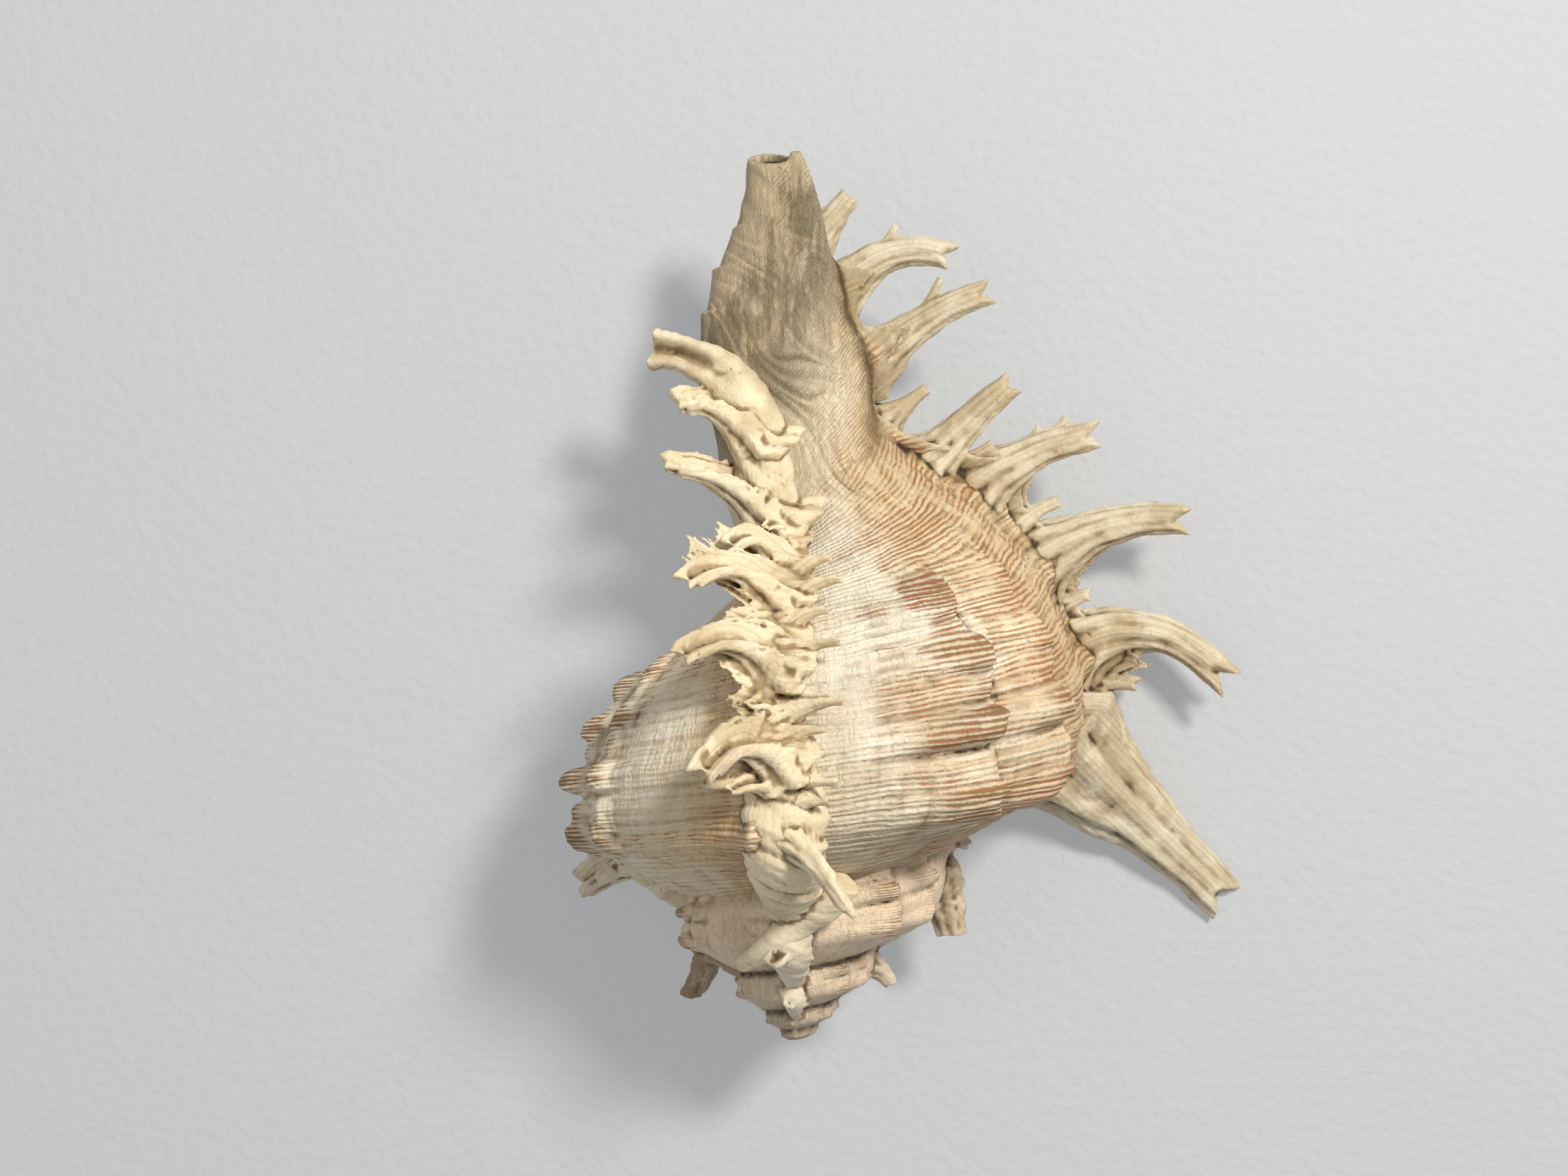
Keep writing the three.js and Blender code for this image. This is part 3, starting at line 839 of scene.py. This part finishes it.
def joinedMesh(name, meshes):
    work = bpy.data.meshes.new(name)
    points, faces, values, base = [], [], {key: [] for key in carried}, 0
    for mesh in meshes:
        points.append(pointsOf(mesh))
        faces += [tuple(base + i for i in polygon.vertices) for polygon in mesh.polygons]
        for key in carried:
            values[key].append(layerOf(mesh, key))
        base += len(mesh.vertices)
    work.from_pydata(np.concatenate(points), [], faces)
    for key in carried:
        setLayer(work, key, np.concatenate(values[key]))
    return work


carried = ("age", "across", "behind", "knob", "kind", "plain")


# carries the source's growth values over to the fused skin, and marks the walls of the hollows
def carryTree():
    tree = GrowTree("carry", {"Source": "Object", "Hollow": "Object", "Hollowed": 0.0})
    shape, source, hollow = tree.given["Geometry"], tree.shapeOf("Source"), tree.shapeOf("Hollow")
    for name in carried:
        inputs = {"Mesh": source, "Value": tree.stored(name)}
        shape = tree.store(shape, name, tree.add("GeometryNodeSampleNearestSurface", {"data_type": "FLOAT"}, inputs))
    near = tree.add("GeometryNodeProximity", {"target_element": "FACES"}, {0: hollow}).port("Distance")
    shape = tree.store(shape, "inside", tree.given["Hollowed"] * (1 - tree.ease(near, 0.15, 0.9)))
    return tree.close(shape)


def lone(name, mesh):
    holder = linked(name, mesh)
    holder.hide_render = True
    return holder


def layerOf(mesh, key):
    values = np.zeros(len(mesh.vertices), dtype=np.float32)
    if key in mesh.attributes:
        mesh.attributes[key].data.foreach_get("value", values)
    return values


def setLayer(mesh, key, values):
    layer = mesh.attributes.get(key) or mesh.attributes.new(key, "FLOAT", "POINT")
    layer.data.foreach_set("value", np.asarray(values, dtype=np.float32))


# each point drawn to the middle of its neighbours, round after round
class Relaxing:
    def __init__(self, mesh):
        self.count = len(mesh.vertices)
        edges = np.empty(len(mesh.edges) * 2, dtype=np.int32)
        mesh.edges.foreach_get("vertices", edges)
        self.a, self.b = edges.reshape(-1, 2).T
        met = np.bincount(self.a, minlength=self.count) + np.bincount(self.b, minlength=self.count)
        self.degree = np.maximum(met, 1)

    def once(self, values, share=0.7):
        columns = [values] if values.ndim == 1 else list(values.T)
        sums = [np.bincount(self.a, column[self.b], self.count) + np.bincount(self.b, column[self.a], self.count)
                for column in columns]
        mean = np.stack([total / self.degree for total in sums], axis=-1).reshape(values.shape)
        return values + (mean - values) * share


def pointsOf(mesh):
    place = np.empty(len(mesh.vertices) * 3)
    mesh.vertices.foreach_get("co", place)
    return place.reshape(-1, 3)


# the lines of the whorl run on over the canal
def spreadRule(mesh):
    place, plain, kind = pointsOf(mesh), layerOf(mesh, "plain"), layerOf(mesh, "kind")
    turns = ((np.arctan2(place[:, 2], place[:, 0]) - growth["lipAzimuth"]) / (2 * math.pi) + 0.15) % 1.0 - 0.15
    height = place[:, 1] * growth["ratio"] ** turns
    onCanal = (plain > 0.5) & (kind < 0.25)
    lengths = acrossAt(height) + np.maximum(0, height - outline[-1, 1])
    for key, values in {"age": np.clip(turns, 0, 0.6), "across": lengths, "behind": np.clip(turns * 3, 0, 1)}.items():
        setLayer(mesh, key, np.where(onCanal, values, layerOf(mesh, key)))


# how deep each point lies below its smoothed surroundings, in millimetres, near and far
def markRecess(mesh):
    place, relaxing = pointsOf(mesh), Relaxing(mesh)
    normal = np.empty(len(place) * 3, dtype=np.float32)
    mesh.vertex_normals.foreach_get("vector", normal)
    smooth = place
    for turn in range(90):
        smooth = relaxing.once(smooth)
        if turn in (9, 89):
            depth = ((smooth - place) * normal.reshape(-1, 3)).sum(axis=1)
            setLayer(mesh, "recess" if turn == 9 else "valley", depth)
    for key, rounds in {"kind": 5, "inside": 2, "age": 3, "behind": 2, "plain": 160}.items():
        values = layerOf(mesh, key).astype(float)
        for _ in range(rounds):
            values = relaxing.once(values)
        setLayer(mesh, key, values)


# a fillet where the canal leaves the whorl and carries its row of spines
def blended(mesh):
    place, relaxing = pointsOf(mesh), Relaxing(mesh)
    x, y, z = place.T
    stations = smoothPath(canal["stations"], 200)
    middle, depth, half = (np.interp(y, stations[:, 1], stations[:, key]) for key in (0, 2, 3))
    near = np.clip((half + 9 - abs(x - middle)) / 7, 0, 1) * np.clip((z - depth + 6) / 4, 0, 1)
    near *= np.clip((np.hypot(x - middle, z - depth) - 7) / 1.5, 0, 1)  # not the channel inside
    share = np.clip((y - 104) / 18, 0, 1) * np.clip((192 - y) / 12, 0, 1) * near
    for _ in range(fuse["blendRounds"]):
        place = place + (relaxing.once(place) - place) * share[:, None]
    # slanting growth folds over the joint
    x, y, z = place.T
    wander = 4 * np.sin(x * 0.13 + y * 0.05) + 3 * np.sin(x * 0.05 - y * 0.19 + 1) + 1.5 * np.sin(x * 0.4 + y * 0.3)
    phase = (y * 0.8 + x * 0.5 + wander + z * 0.2) * (2 * math.pi / 8.5)
    strength = np.clip((y - 124) / 22, 0, 1) * np.clip((200 - y) / 40, 0, 1) * np.clip((z - 1) / 4, 0, 1)
    swell = 0.3 + 0.7 * np.sin(x * 0.15 + y * 0.09 + 0.6 * np.sin(y * 0.3)) ** 2
    within = np.clip((half + 6 - abs(x - middle)) / 6, 0, 1)
    rising = (phase / (2 * math.pi)) % 1.0
    fold = rising**1.6 * np.clip((1 - rising) / 0.14, 0, 1) * 2.4 + 0.3 * np.sin(phase * 2.3 + x * 0.3)
    place[:, 2] += fold * swell * strength * within
    # its left edge goes out in steps
    for level, jump in canal["steps"]:
        below = np.clip((level - y) / 0.7, 0, 1) * np.exp(-np.maximum(level - y, 0) / 6)
        place[:, 0] -= jump * below * np.clip((middle - x) / half - 0.25, 0, 1) * (abs(x - middle) < half + 3)
    mesh.vertices.foreach_set("co", place.ravel())


def fused(name, meshes, hollows, joint=None):
    source = lone(name + "Source", joinedMesh(name + "Source", meshes))
    work = lone(name, source.data.copy())
    remesh = work.modifiers.new("skin", "REMESH")
    remesh.mode, remesh.voxel_size, remesh.use_smooth_shade = "VOXEL", fuse["voxel"], True
    for hollow in hollows:
        cut = work.modifiers.new("cut", "BOOLEAN")
        cut.object, cut.operation, cut.solver = hollow, "DIFFERENCE", "MANIFOLD"
    soften = work.modifiers.new("soften", "SMOOTH")
    soften.factor, soften.iterations = 0.5, fuse["smoothing"]
    skin = evaluated(work, name)
    print(name, "skin", len(skin.vertices))
    if joint:
        joint(skin)
    work = lone(name, skin)
    skin.calc_loop_triangles()
    thin = work.modifiers.new("thin", "DECIMATE")
    thin.ratio = min(1.0, fuse["triangles"] / len(skin.loop_triangles))
    growOn(work, trees["carry"], {"Source": source, "Material": shellMaterial,
                                  **({"Hollow": hollows[0], "Hollowed": 1.0} if hollows else {})})
    made = evaluated(work, name)
    bpy.data.objects.remove(source)
    if joint:
        spreadRule(made)
    markRecess(made)
    made.transform(toRow)
    place = pointsOf(made)
    place[:, 2] = np.maximum(place[:, 2], 0.0)  # worn flat where it rests
    made.vertices.foreach_set("co", place.ravel())
    made.shade_smooth()
    made.calc_loop_triangles()
    print(name, "triangles", len(made.loop_triangles))
    return linked(name, made)


toRow = (Matrix.Diagonal((0.001, 0.001, 0.001, 1)) @ Matrix.Translation(growth["shift"])
         @ Matrix.Rotation(math.radians(growth["pitch"]), 4, "X")
         @ Matrix.Rotation(math.radians(growth["roll"]), 4, "Y"))


def blankMaterial(name):
    material = bpy.data.materials.new(name)
    material.use_nodes = True
    material.node_tree.nodes.clear()
    return material, Board(material.node_tree)


# ---- finish of the shell
finish = {
    "cream": (0.78, 0.655, 0.435),
    "chalk": (0.88, 0.82, 0.67),
    "greyGreen": (0.52, 0.49, 0.37),
    "peach": (0.74, 0.52, 0.29),
    "line": (0.37, 0.15, 0.06),
    "ochre": (0.60, 0.34, 0.12),
    "canalGrey": (0.17, 0.13, 0.06),
    "patch": (0.24, 0.12, 0.048),
    "lipHorn": (0.62, 0.55, 0.40),
    "horn": (0.77, 0.65, 0.44),
    "oldHorn": (0.66, 0.57, 0.43),
    "canal": (0.50, 0.39, 0.24),
    # partly a stain colour, partly painted shade in valleys and hollows
    "stainAndShade": (0.27, 0.175, 0.075),
    # weathering, and also painted shade in the valleys of spines and frills
    "weatheredAndShade": (0.44, 0.33, 0.19),
    "shade": (0.23, 0.145, 0.065),
    # dirt specks, and also painted shade in the deepest recesses
    "dirtAndShade": (0.045, 0.026, 0.014),
    "spire": (0.84, 0.67, 0.49),
    "porcelain": (0.84, 0.74, 0.62),
    "threadPitch": 1.5,
}


def makeShellMaterial():
    material, board = blankMaterial("chalkyShell")
    ease, noise, joined, hill = board.ease, board.noise, board.joined, board.hill
    value = {name: board.add("ShaderNodeAttribute", {"attribute_name": name}, None, 2)
             for name in (*carried, "inside", "recess", "valley")}
    place = board.add("ShaderNodeTexCoord").port("Object")
    age, across, behind, kind, plain, knob, inside, recess, valley = (value[name] for name in (
        "age", "across", "behind", "kind", "plain", "knob", "inside", "recess", "valley"))

    def mix(share, first, second):
        first, second = ((*finish[c], 1) if isinstance(c, str) else c for c in (first, second))
        settings = {"data_type": "RGBA", "clamp_factor": True}
        return board.add("ShaderNodeMix", settings, {0: share, 6: first, 7: second}, 2)

    # layer upon layer: the share of each and its colour
    def layered(base, *layers):
        for share, colour in layers:
            base = mix(share, base, colour)
        return base

    def drawn(along, over, seed, detail, roughness=0.5):
        return noise(joined(path * along, over, seed), 1.0, detail, roughness)

    # where on the shell: on a whorl, the canal, a fresh spine; how long ago it grew
    onWhorl = 1 - ease(kind, 0.3, 0.45)
    tube = plain * (1 - ease(kind, 0.2, 0.4))
    freshHorn = (1 - onWhorl) * ease(age, 0.2, 0.1)
    newest = ease(behind, 1.0, 0.55)
    older = ease(age, 0.36, 0.4)
    young = ease(age, 0.9, 0.75)
    low = ease(across * -1, -95, -35)
    path = age * 330

    # the spiral threads, numbered, and the patterns that run along them
    drift = noise(place, 30, 3)
    mottle = noise(place, 95, 4, 0.6)
    wave = drawn(0.06, across * 0.08, 0.0, 2)
    phase = (across + (wave - 0.5) * 3.2) / finish["threadPitch"]
    thread = board.cos(phase * (2 * math.pi)) * 0.5 + 0.5
    number = board.maths("FLOOR", phase)
    dashes = drawn(0.3, number * 1.7, 4.0, 4, 0.75)
    streaks = drawn(0.03, across * 0.2, 9.0, 3)
    bands = drawn(0.09, across * 0.05, 15.0, 2)
    smear = drawn(0.12, across * 0.06, 40.0, 4, 0.65)
    strokes = drawn(0.035, number * 2.3, 30.0, 3, 0.6)
    plainness = (newest - 0.35) * 0.34 + (bands - 0.5) * 0.8 - older * 0.26
    coloured = ease(dashes + streaks * 0.9 + plainness, 0.99, 1.27)
    lines = ease(thread + (dashes - 0.5) * 0.8, 0.42, 0.85) * coloured * onWhorl
    greenish = ease(behind, 0.5, 0.9) * ease(streaks, 0.35, 0.6) * onWhorl
    warm = ease(noise(place, 19, 2), 0.38, 0.62) * ease(behind, 0.85, 0.4) * onWhorl
    ochre = ease(strokes + bands * 0.5 + low * 0.12, 0.66, 0.95) * newest * onWhorl
    smeared = ease(smear + low * 0.15, 0.42, 0.7) * onWhorl
    smudged = ease(noise(place, 45, 4, 0.65), 0.5, 0.62) * ease(valley, 0.1, 0.6)
    chalky = ease(drift + (behind - 0.52) * 0.6 + older * 0.1, 0.38, 0.64)
    base = layered(
        mix(chalky, "cream", "chalk"),
        (greenish * 0.35, "greyGreen"),
        (warm * (0.6 - older * 0.35), "peach"),
        (ochre * (0.44 - older * 0.2), "ochre"),
        (smeared * (0.16 + 0.22 * low) * (1 - older * 0.7), "weatheredAndShade"),
        (ease(age, 0.85, 1.1) * 0.85, "spire"),
        (smudged * ease(age, 0.8, 1.0) * 0.6, "weatheredAndShade"),
    )
    greyed = ease(mottle * 0.5 + smear + (drift - 0.5) - ease(across, 222, 240) * 0.22, 0.5, 0.76)
    onCanal = mix(ease(across + (drift - 0.5) * 40, 160, 200), mix(0.65, base, "cream"),
                  mix(greyed * 0.9, "canal", "canalGrey"))
    horn = layered(
        mix(ease(age, 0.2, 0.3), "lipHorn", "horn"),
        (ease(age, 0.5, 0.62), "oldHorn"),
        (ease(mottle + (drift - 0.5) * 0.8, 0.46, 0.66) * 0.55, "weatheredAndShade"),
        (ease(mottle, 0.5, 0.4) * 0.25, "chalk"),
    )
    knobPatch = knob + (strokes - 0.5) * 9 + (bands - 0.5) * 8 + older * 1.5
    combed = 0.12 + 0.88 * ease(dashes * 0.6 + strokes * 0.6 + thread * 0.25, 0.6, 0.85)
    ribLines = ease(thread, 0.5, 0.9) * ease(dashes, 0.4, 0.6) * (1 - onWhorl) * (1 - plain)
    # partly stain, partly painted shade: darker in the broad valleys of young growth, and in the hollow by the
    # canal's edge near the lip
    stainAndShade = ease(valley + (mottle - 0.5) * 2.2, 0.35, 2.4) * ease(age, 0.22, 0.1)
    edge = hill(plain, 0.42, 0.3) * ease(behind, 0.45, 0.3) * ease(across, 118, 140) * ease(age, 0.2, 0.1)
    grime = hill(age, 1.667, 0.06) * ease(kind, 0.3, 0.6) * ease(mottle, 0.3, 0.5)
    # painted shade: the deeper a point lies below its smoothed surroundings, the darker it is painted
    sunken = recess + (noise(place, 190, 4) - 0.5) * 0.2
    # partly stain, partly painted shade in the valleys of spines and frills
    valleyStainAndShade = ease(valley + (mottle - 0.5) * 1.8, 0.0, 0.9) * (1 - onWhorl)
    blotch = ease(noise(place, 60, 5, 0.7), 0.5, 0.7) * (0.15 + 0.45 * ease(age, 0.3, 0.9))
    specks = ease(noise(place, 420, 3, 0.7), 0.64, 0.72) * ease(noise(place, 35, 2), 0.48, 0.65)
    base = layered(
        base,
        (tube * 0.9, onCanal),
        (ease(kind, 0.12, 0.5) * 0.92, horn),
        (ease(knobPatch, 3.4, 7.0) * onWhorl * combed * (0.3 + 0.65 * young) * (1 - tube), "patch"),
        (ease(knobPatch, 6.8, 10.0) * onWhorl * combed * 0.75, "shade"),
        (lines * (1 - tube * 0.8) * (0.35 + 0.56 * young), "line"),
        (ribLines * 0.3, "shade"),
        # partly stain, partly painted shade in valleys and in the hollow by the canal
        (stainAndShade * 0.7, "stainAndShade"),
        (edge * ease(mottle, 0.3, 0.5) * 0.85, "stainAndShade"),
        (grime * 0.75, "shade"),
        # painted shade in recesses
        (ease(sunken, -0.02, 0.16) * (0.9 - 0.45 * onWhorl - 0.45 * freshHorn) * (1 - tube * 0.6), "shade"),
        # partly stain, partly painted shade: darker in the valleys of spines and frills
        (valleyStainAndShade * (0.7 - 0.3 * freshHorn), "weatheredAndShade"),
        # painted shade: the deepest recesses nearly black
        (ease(sunken, 0.13, 0.36) * 0.9 * (1 - tube * 0.6), "dirtAndShade"),
        (blotch * 0.4, "shade"),
        (specks * 0.7, "dirtAndShade"),
        (inside, "porcelain"),
    )

    growthLines = drawn(0.9, across * 0.12, 2.0, 4, 0.6)
    beads = drawn(0.9, number * 3.1, 0.0, 2)
    ribbed = (0.2 + 0.8 * onWhorl) * (1 - (plain - tube * 0.5) * 0.85) * (0.15 + 0.85 * young)
    height = thread * -0.27 * (0.35 + beads) * ribbed + growthLines * 0.8 * onWhorl + noise(place, 900, 4, 0.6) * 0.2
    height = (height + noise(place, 260, 3) * 0.55) * (1 - inside * 0.9)
    return board.skinned(material, height, 1.0, {
        "Base Color": base, "Roughness": 0.62 + ease(drift, 0.3, 0.7) * 0.16 - inside * 0.35,
        "Specular IOR Level": 0.35,
    })


# a pale, slightly glowing board, so that shadows on it stay light
backing = {"colour": (0.345, 0.354, 0.37), "glow": (0.95, 0.98, 1.0), "strength": 0.23, "beads": 330, "relief": 0.5}


def makeFloorMaterial():
    material, board = blankMaterial("paleFloor")
    beads = board.noise(board.add("ShaderNodeTexCoord").port("Object"), backing["beads"], 2)
    return board.skinned(material, beads, backing["relief"], {
        "Base Color": (*backing["colour"], 1), "Roughness": 0.9,
        "Emission Color": (*backing["glow"], 1), "Emission Strength": backing["strength"],
    })


# ---- camera, floor and light
# millimetres seen across the picture, from how far, and at what; each light's place, power and size
view = {
    "across": 365.3,
    "distance": 520,
    "target": (-3.0, 107.9, 0.0),
    "lights": {"keyLight": ((0.40, 0.44, 0.85), 10.8, 0.16), "fillLight": ((-0.7, -0.1, 0.9), 2.0, 1.0)},
}


def makeStage():
    cameraData = bpy.data.cameras.new("camera")
    cameraData.sensor_width = 36
    cameraData.lens = 36 * view["distance"] / view["across"]
    cameraData.clip_start, cameraData.clip_end = 0.01, 20
    camera = linked("camera", cameraData)
    turned = toRow.to_3x3().normalized()
    eye = toRow @ Vector(view["target"]) + turned @ Vector((0, 0, view["distance"] * 0.001))
    camera.matrix_world = Matrix.Translation(eye) @ turned.to_4x4()
    bpy.context.scene.camera = camera
    floorMesh = bpy.data.meshes.new("floor")
    floorMesh.from_pydata([(-3, -3, 0), (3, -3, 0), (3, 3, 0), (-3, 3, 0)], [], [(0, 1, 2, 3)])
    floorMesh.materials.append(makeFloorMaterial())
    floor = linked("floor", floorMesh)
    for name, (place, power, size) in view["lights"].items():
        lightData = bpy.data.lights.new(name, "AREA")
        lightData.energy, lightData.size, lightData.color = power, size, (1.0, 0.95, 0.87)
        light = linked(name, lightData)
        light.location = place
        light.rotation_euler = (-Vector(place)).to_track_quat("-Z", "Y").to_euler()
    world = bpy.data.worlds.new("world")
    world.use_nodes = True
    sky = world.node_tree.nodes["Background"]
    sky.inputs[0].default_value, sky.inputs[1].default_value = (0.96, 0.98, 1, 1), 0.33
    bpy.context.scene.world = world
    bpy.context.scene.view_settings.view_transform = "Standard"


makeStage()
print("stage ready")
shellMaterial = makeShellMaterial()
trees = {"whorl": whorlTree(), "spine": spineTree(), "frill": frillTree(), "tube": tubeTree(),
         "carry": carryTree()}
outlineHolder = lone("outline", outlineMesh())
print("trees ready")


def whorlMesh(first, count):
    return grown("whorl", bpy.data.meshes.new("seed"), {"Outline": outlineHolder, "First": first, "Count": count})


def spineMesh(records):
    values = {key: [record[key] for record in records] for key in records[0]}
    return grown("spine", pointMesh("spinePoints", np.zeros((len(records), 3)), values), {})


def frillMeshes(index):
    age = index * growth["spacing"]
    calm, thicker, kind = (0.18, 1.5, 0.02) if index == 0 else (1, 1, 0.4)
    values = {"Of Age": age, "Unit": growth["ratio"] ** -age, "Ragged": 0.7 * calm, "Kind": kind,
              "Ruffle": frill["ruffle"] * calm, "Thickness": frill["thickness"] * thicker}
    return [grown("frill", frillPath(index, order), {**values, "Order": float(order)})
            for order in range(frill["counts"][index])]


def tubeMesh(stations, values, turn=0.0, size=1.0):
    return grown("tube", pathMesh(stations, turn, size), values)


# the thick smooth roll of a varix over its shoulder and down the ramp
def collarMesh(index):
    age = index * growth["spacing"] - 0.006
    _, backward, size = bearings(age)
    stations = [(*placed(age, r, h), across * size, through * size) for r, h, across, through in canal["collar"]]
    values = {"Wide": tuple(backward), "Of Age": index * growth["spacing"], "Kind": 0.5, "Folds": 0.5}
    return tubeMesh(stations, values)


def stubMeshes(index):
    age = index * growth["spacing"]
    back = age - growth["spacing"]
    turn, size = 2 * math.pi * back, growth["ratio"] ** -back
    spin, wide = spun(turn), (0.3 * math.cos(turn), 1.0, 0.3 * math.sin(turn))
    values = {"Wide": wide, "Of Age": age, "Kind": 0.5, "Folds": 0.35, "Groove": 1.2}
    records = []
    for root, reach, rise, mid, heading, rootHalf, tipHalf in canal["stubSpines"]:
        lengths = {"reach": reach, "rise": rise, "mid": mid, "rootHalf": rootHalf, "tipHalf": tipHalf, "back": 5}
        whole = {
            "root": spin @ np.array(root) * size, "heading": spin @ np.array(heading),
            **{key: length * size for key, length in lengths.items()}, "groove": 1.5, "fork": 0.06,
            "acrossRoot": 150.0, "ofAge": age, "unit": growth["ratio"] ** -age, "twist": math.radians(62),
            "taper": 2.5,
        }
        records += [whole, nestedRecord(whole)]
    return [tubeMesh(canal["stub"], values, turn, size), spineMesh(records)]


hollow = lone("hollow", apertureHollow())
channel = lone("channel", canalChannel())
canalTubes = [tubeMesh(canal[key], {"Folds": 0.2, "Kind": 0.0, "Of Age": 0.02}) for key in ("stations", "lobe")]
newest = fused("newestGrowth", [
    whorlMesh(0, 1), spineMesh(spineRecords(0)), *frillMeshes(0), *canalTubes,
], [hollow, channel], blended)
middle = fused("middleGrowth", [
    whorlMesh(1, 1), spineMesh(spineRecords(1)), *frillMeshes(1), *stubMeshes(1), collarMesh(1),
    tubeMesh(canal["trail"], {"Folds": 0.3, "Kind": 0.6, "Of Age": 0.3333, "Groove": 1.5}),
], [hollow])
olderMeshes = [whorlMesh(2, growth["sectors"] - 2), *stubMeshes(2)]
for index in range(2, len(spines["shoulder"])):
    olderMeshes += [spineMesh(spineRecords(index)), *frillMeshes(index), collarMesh(index)]
older = fused("olderGrowth", olderMeshes, [])
for holder in (hollow, channel, outlineHolder):
    bpy.data.objects.remove(holder)
print("pieces ready")

for piece in (newest, middle, older):
    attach(piece, "root")
    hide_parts("shell")
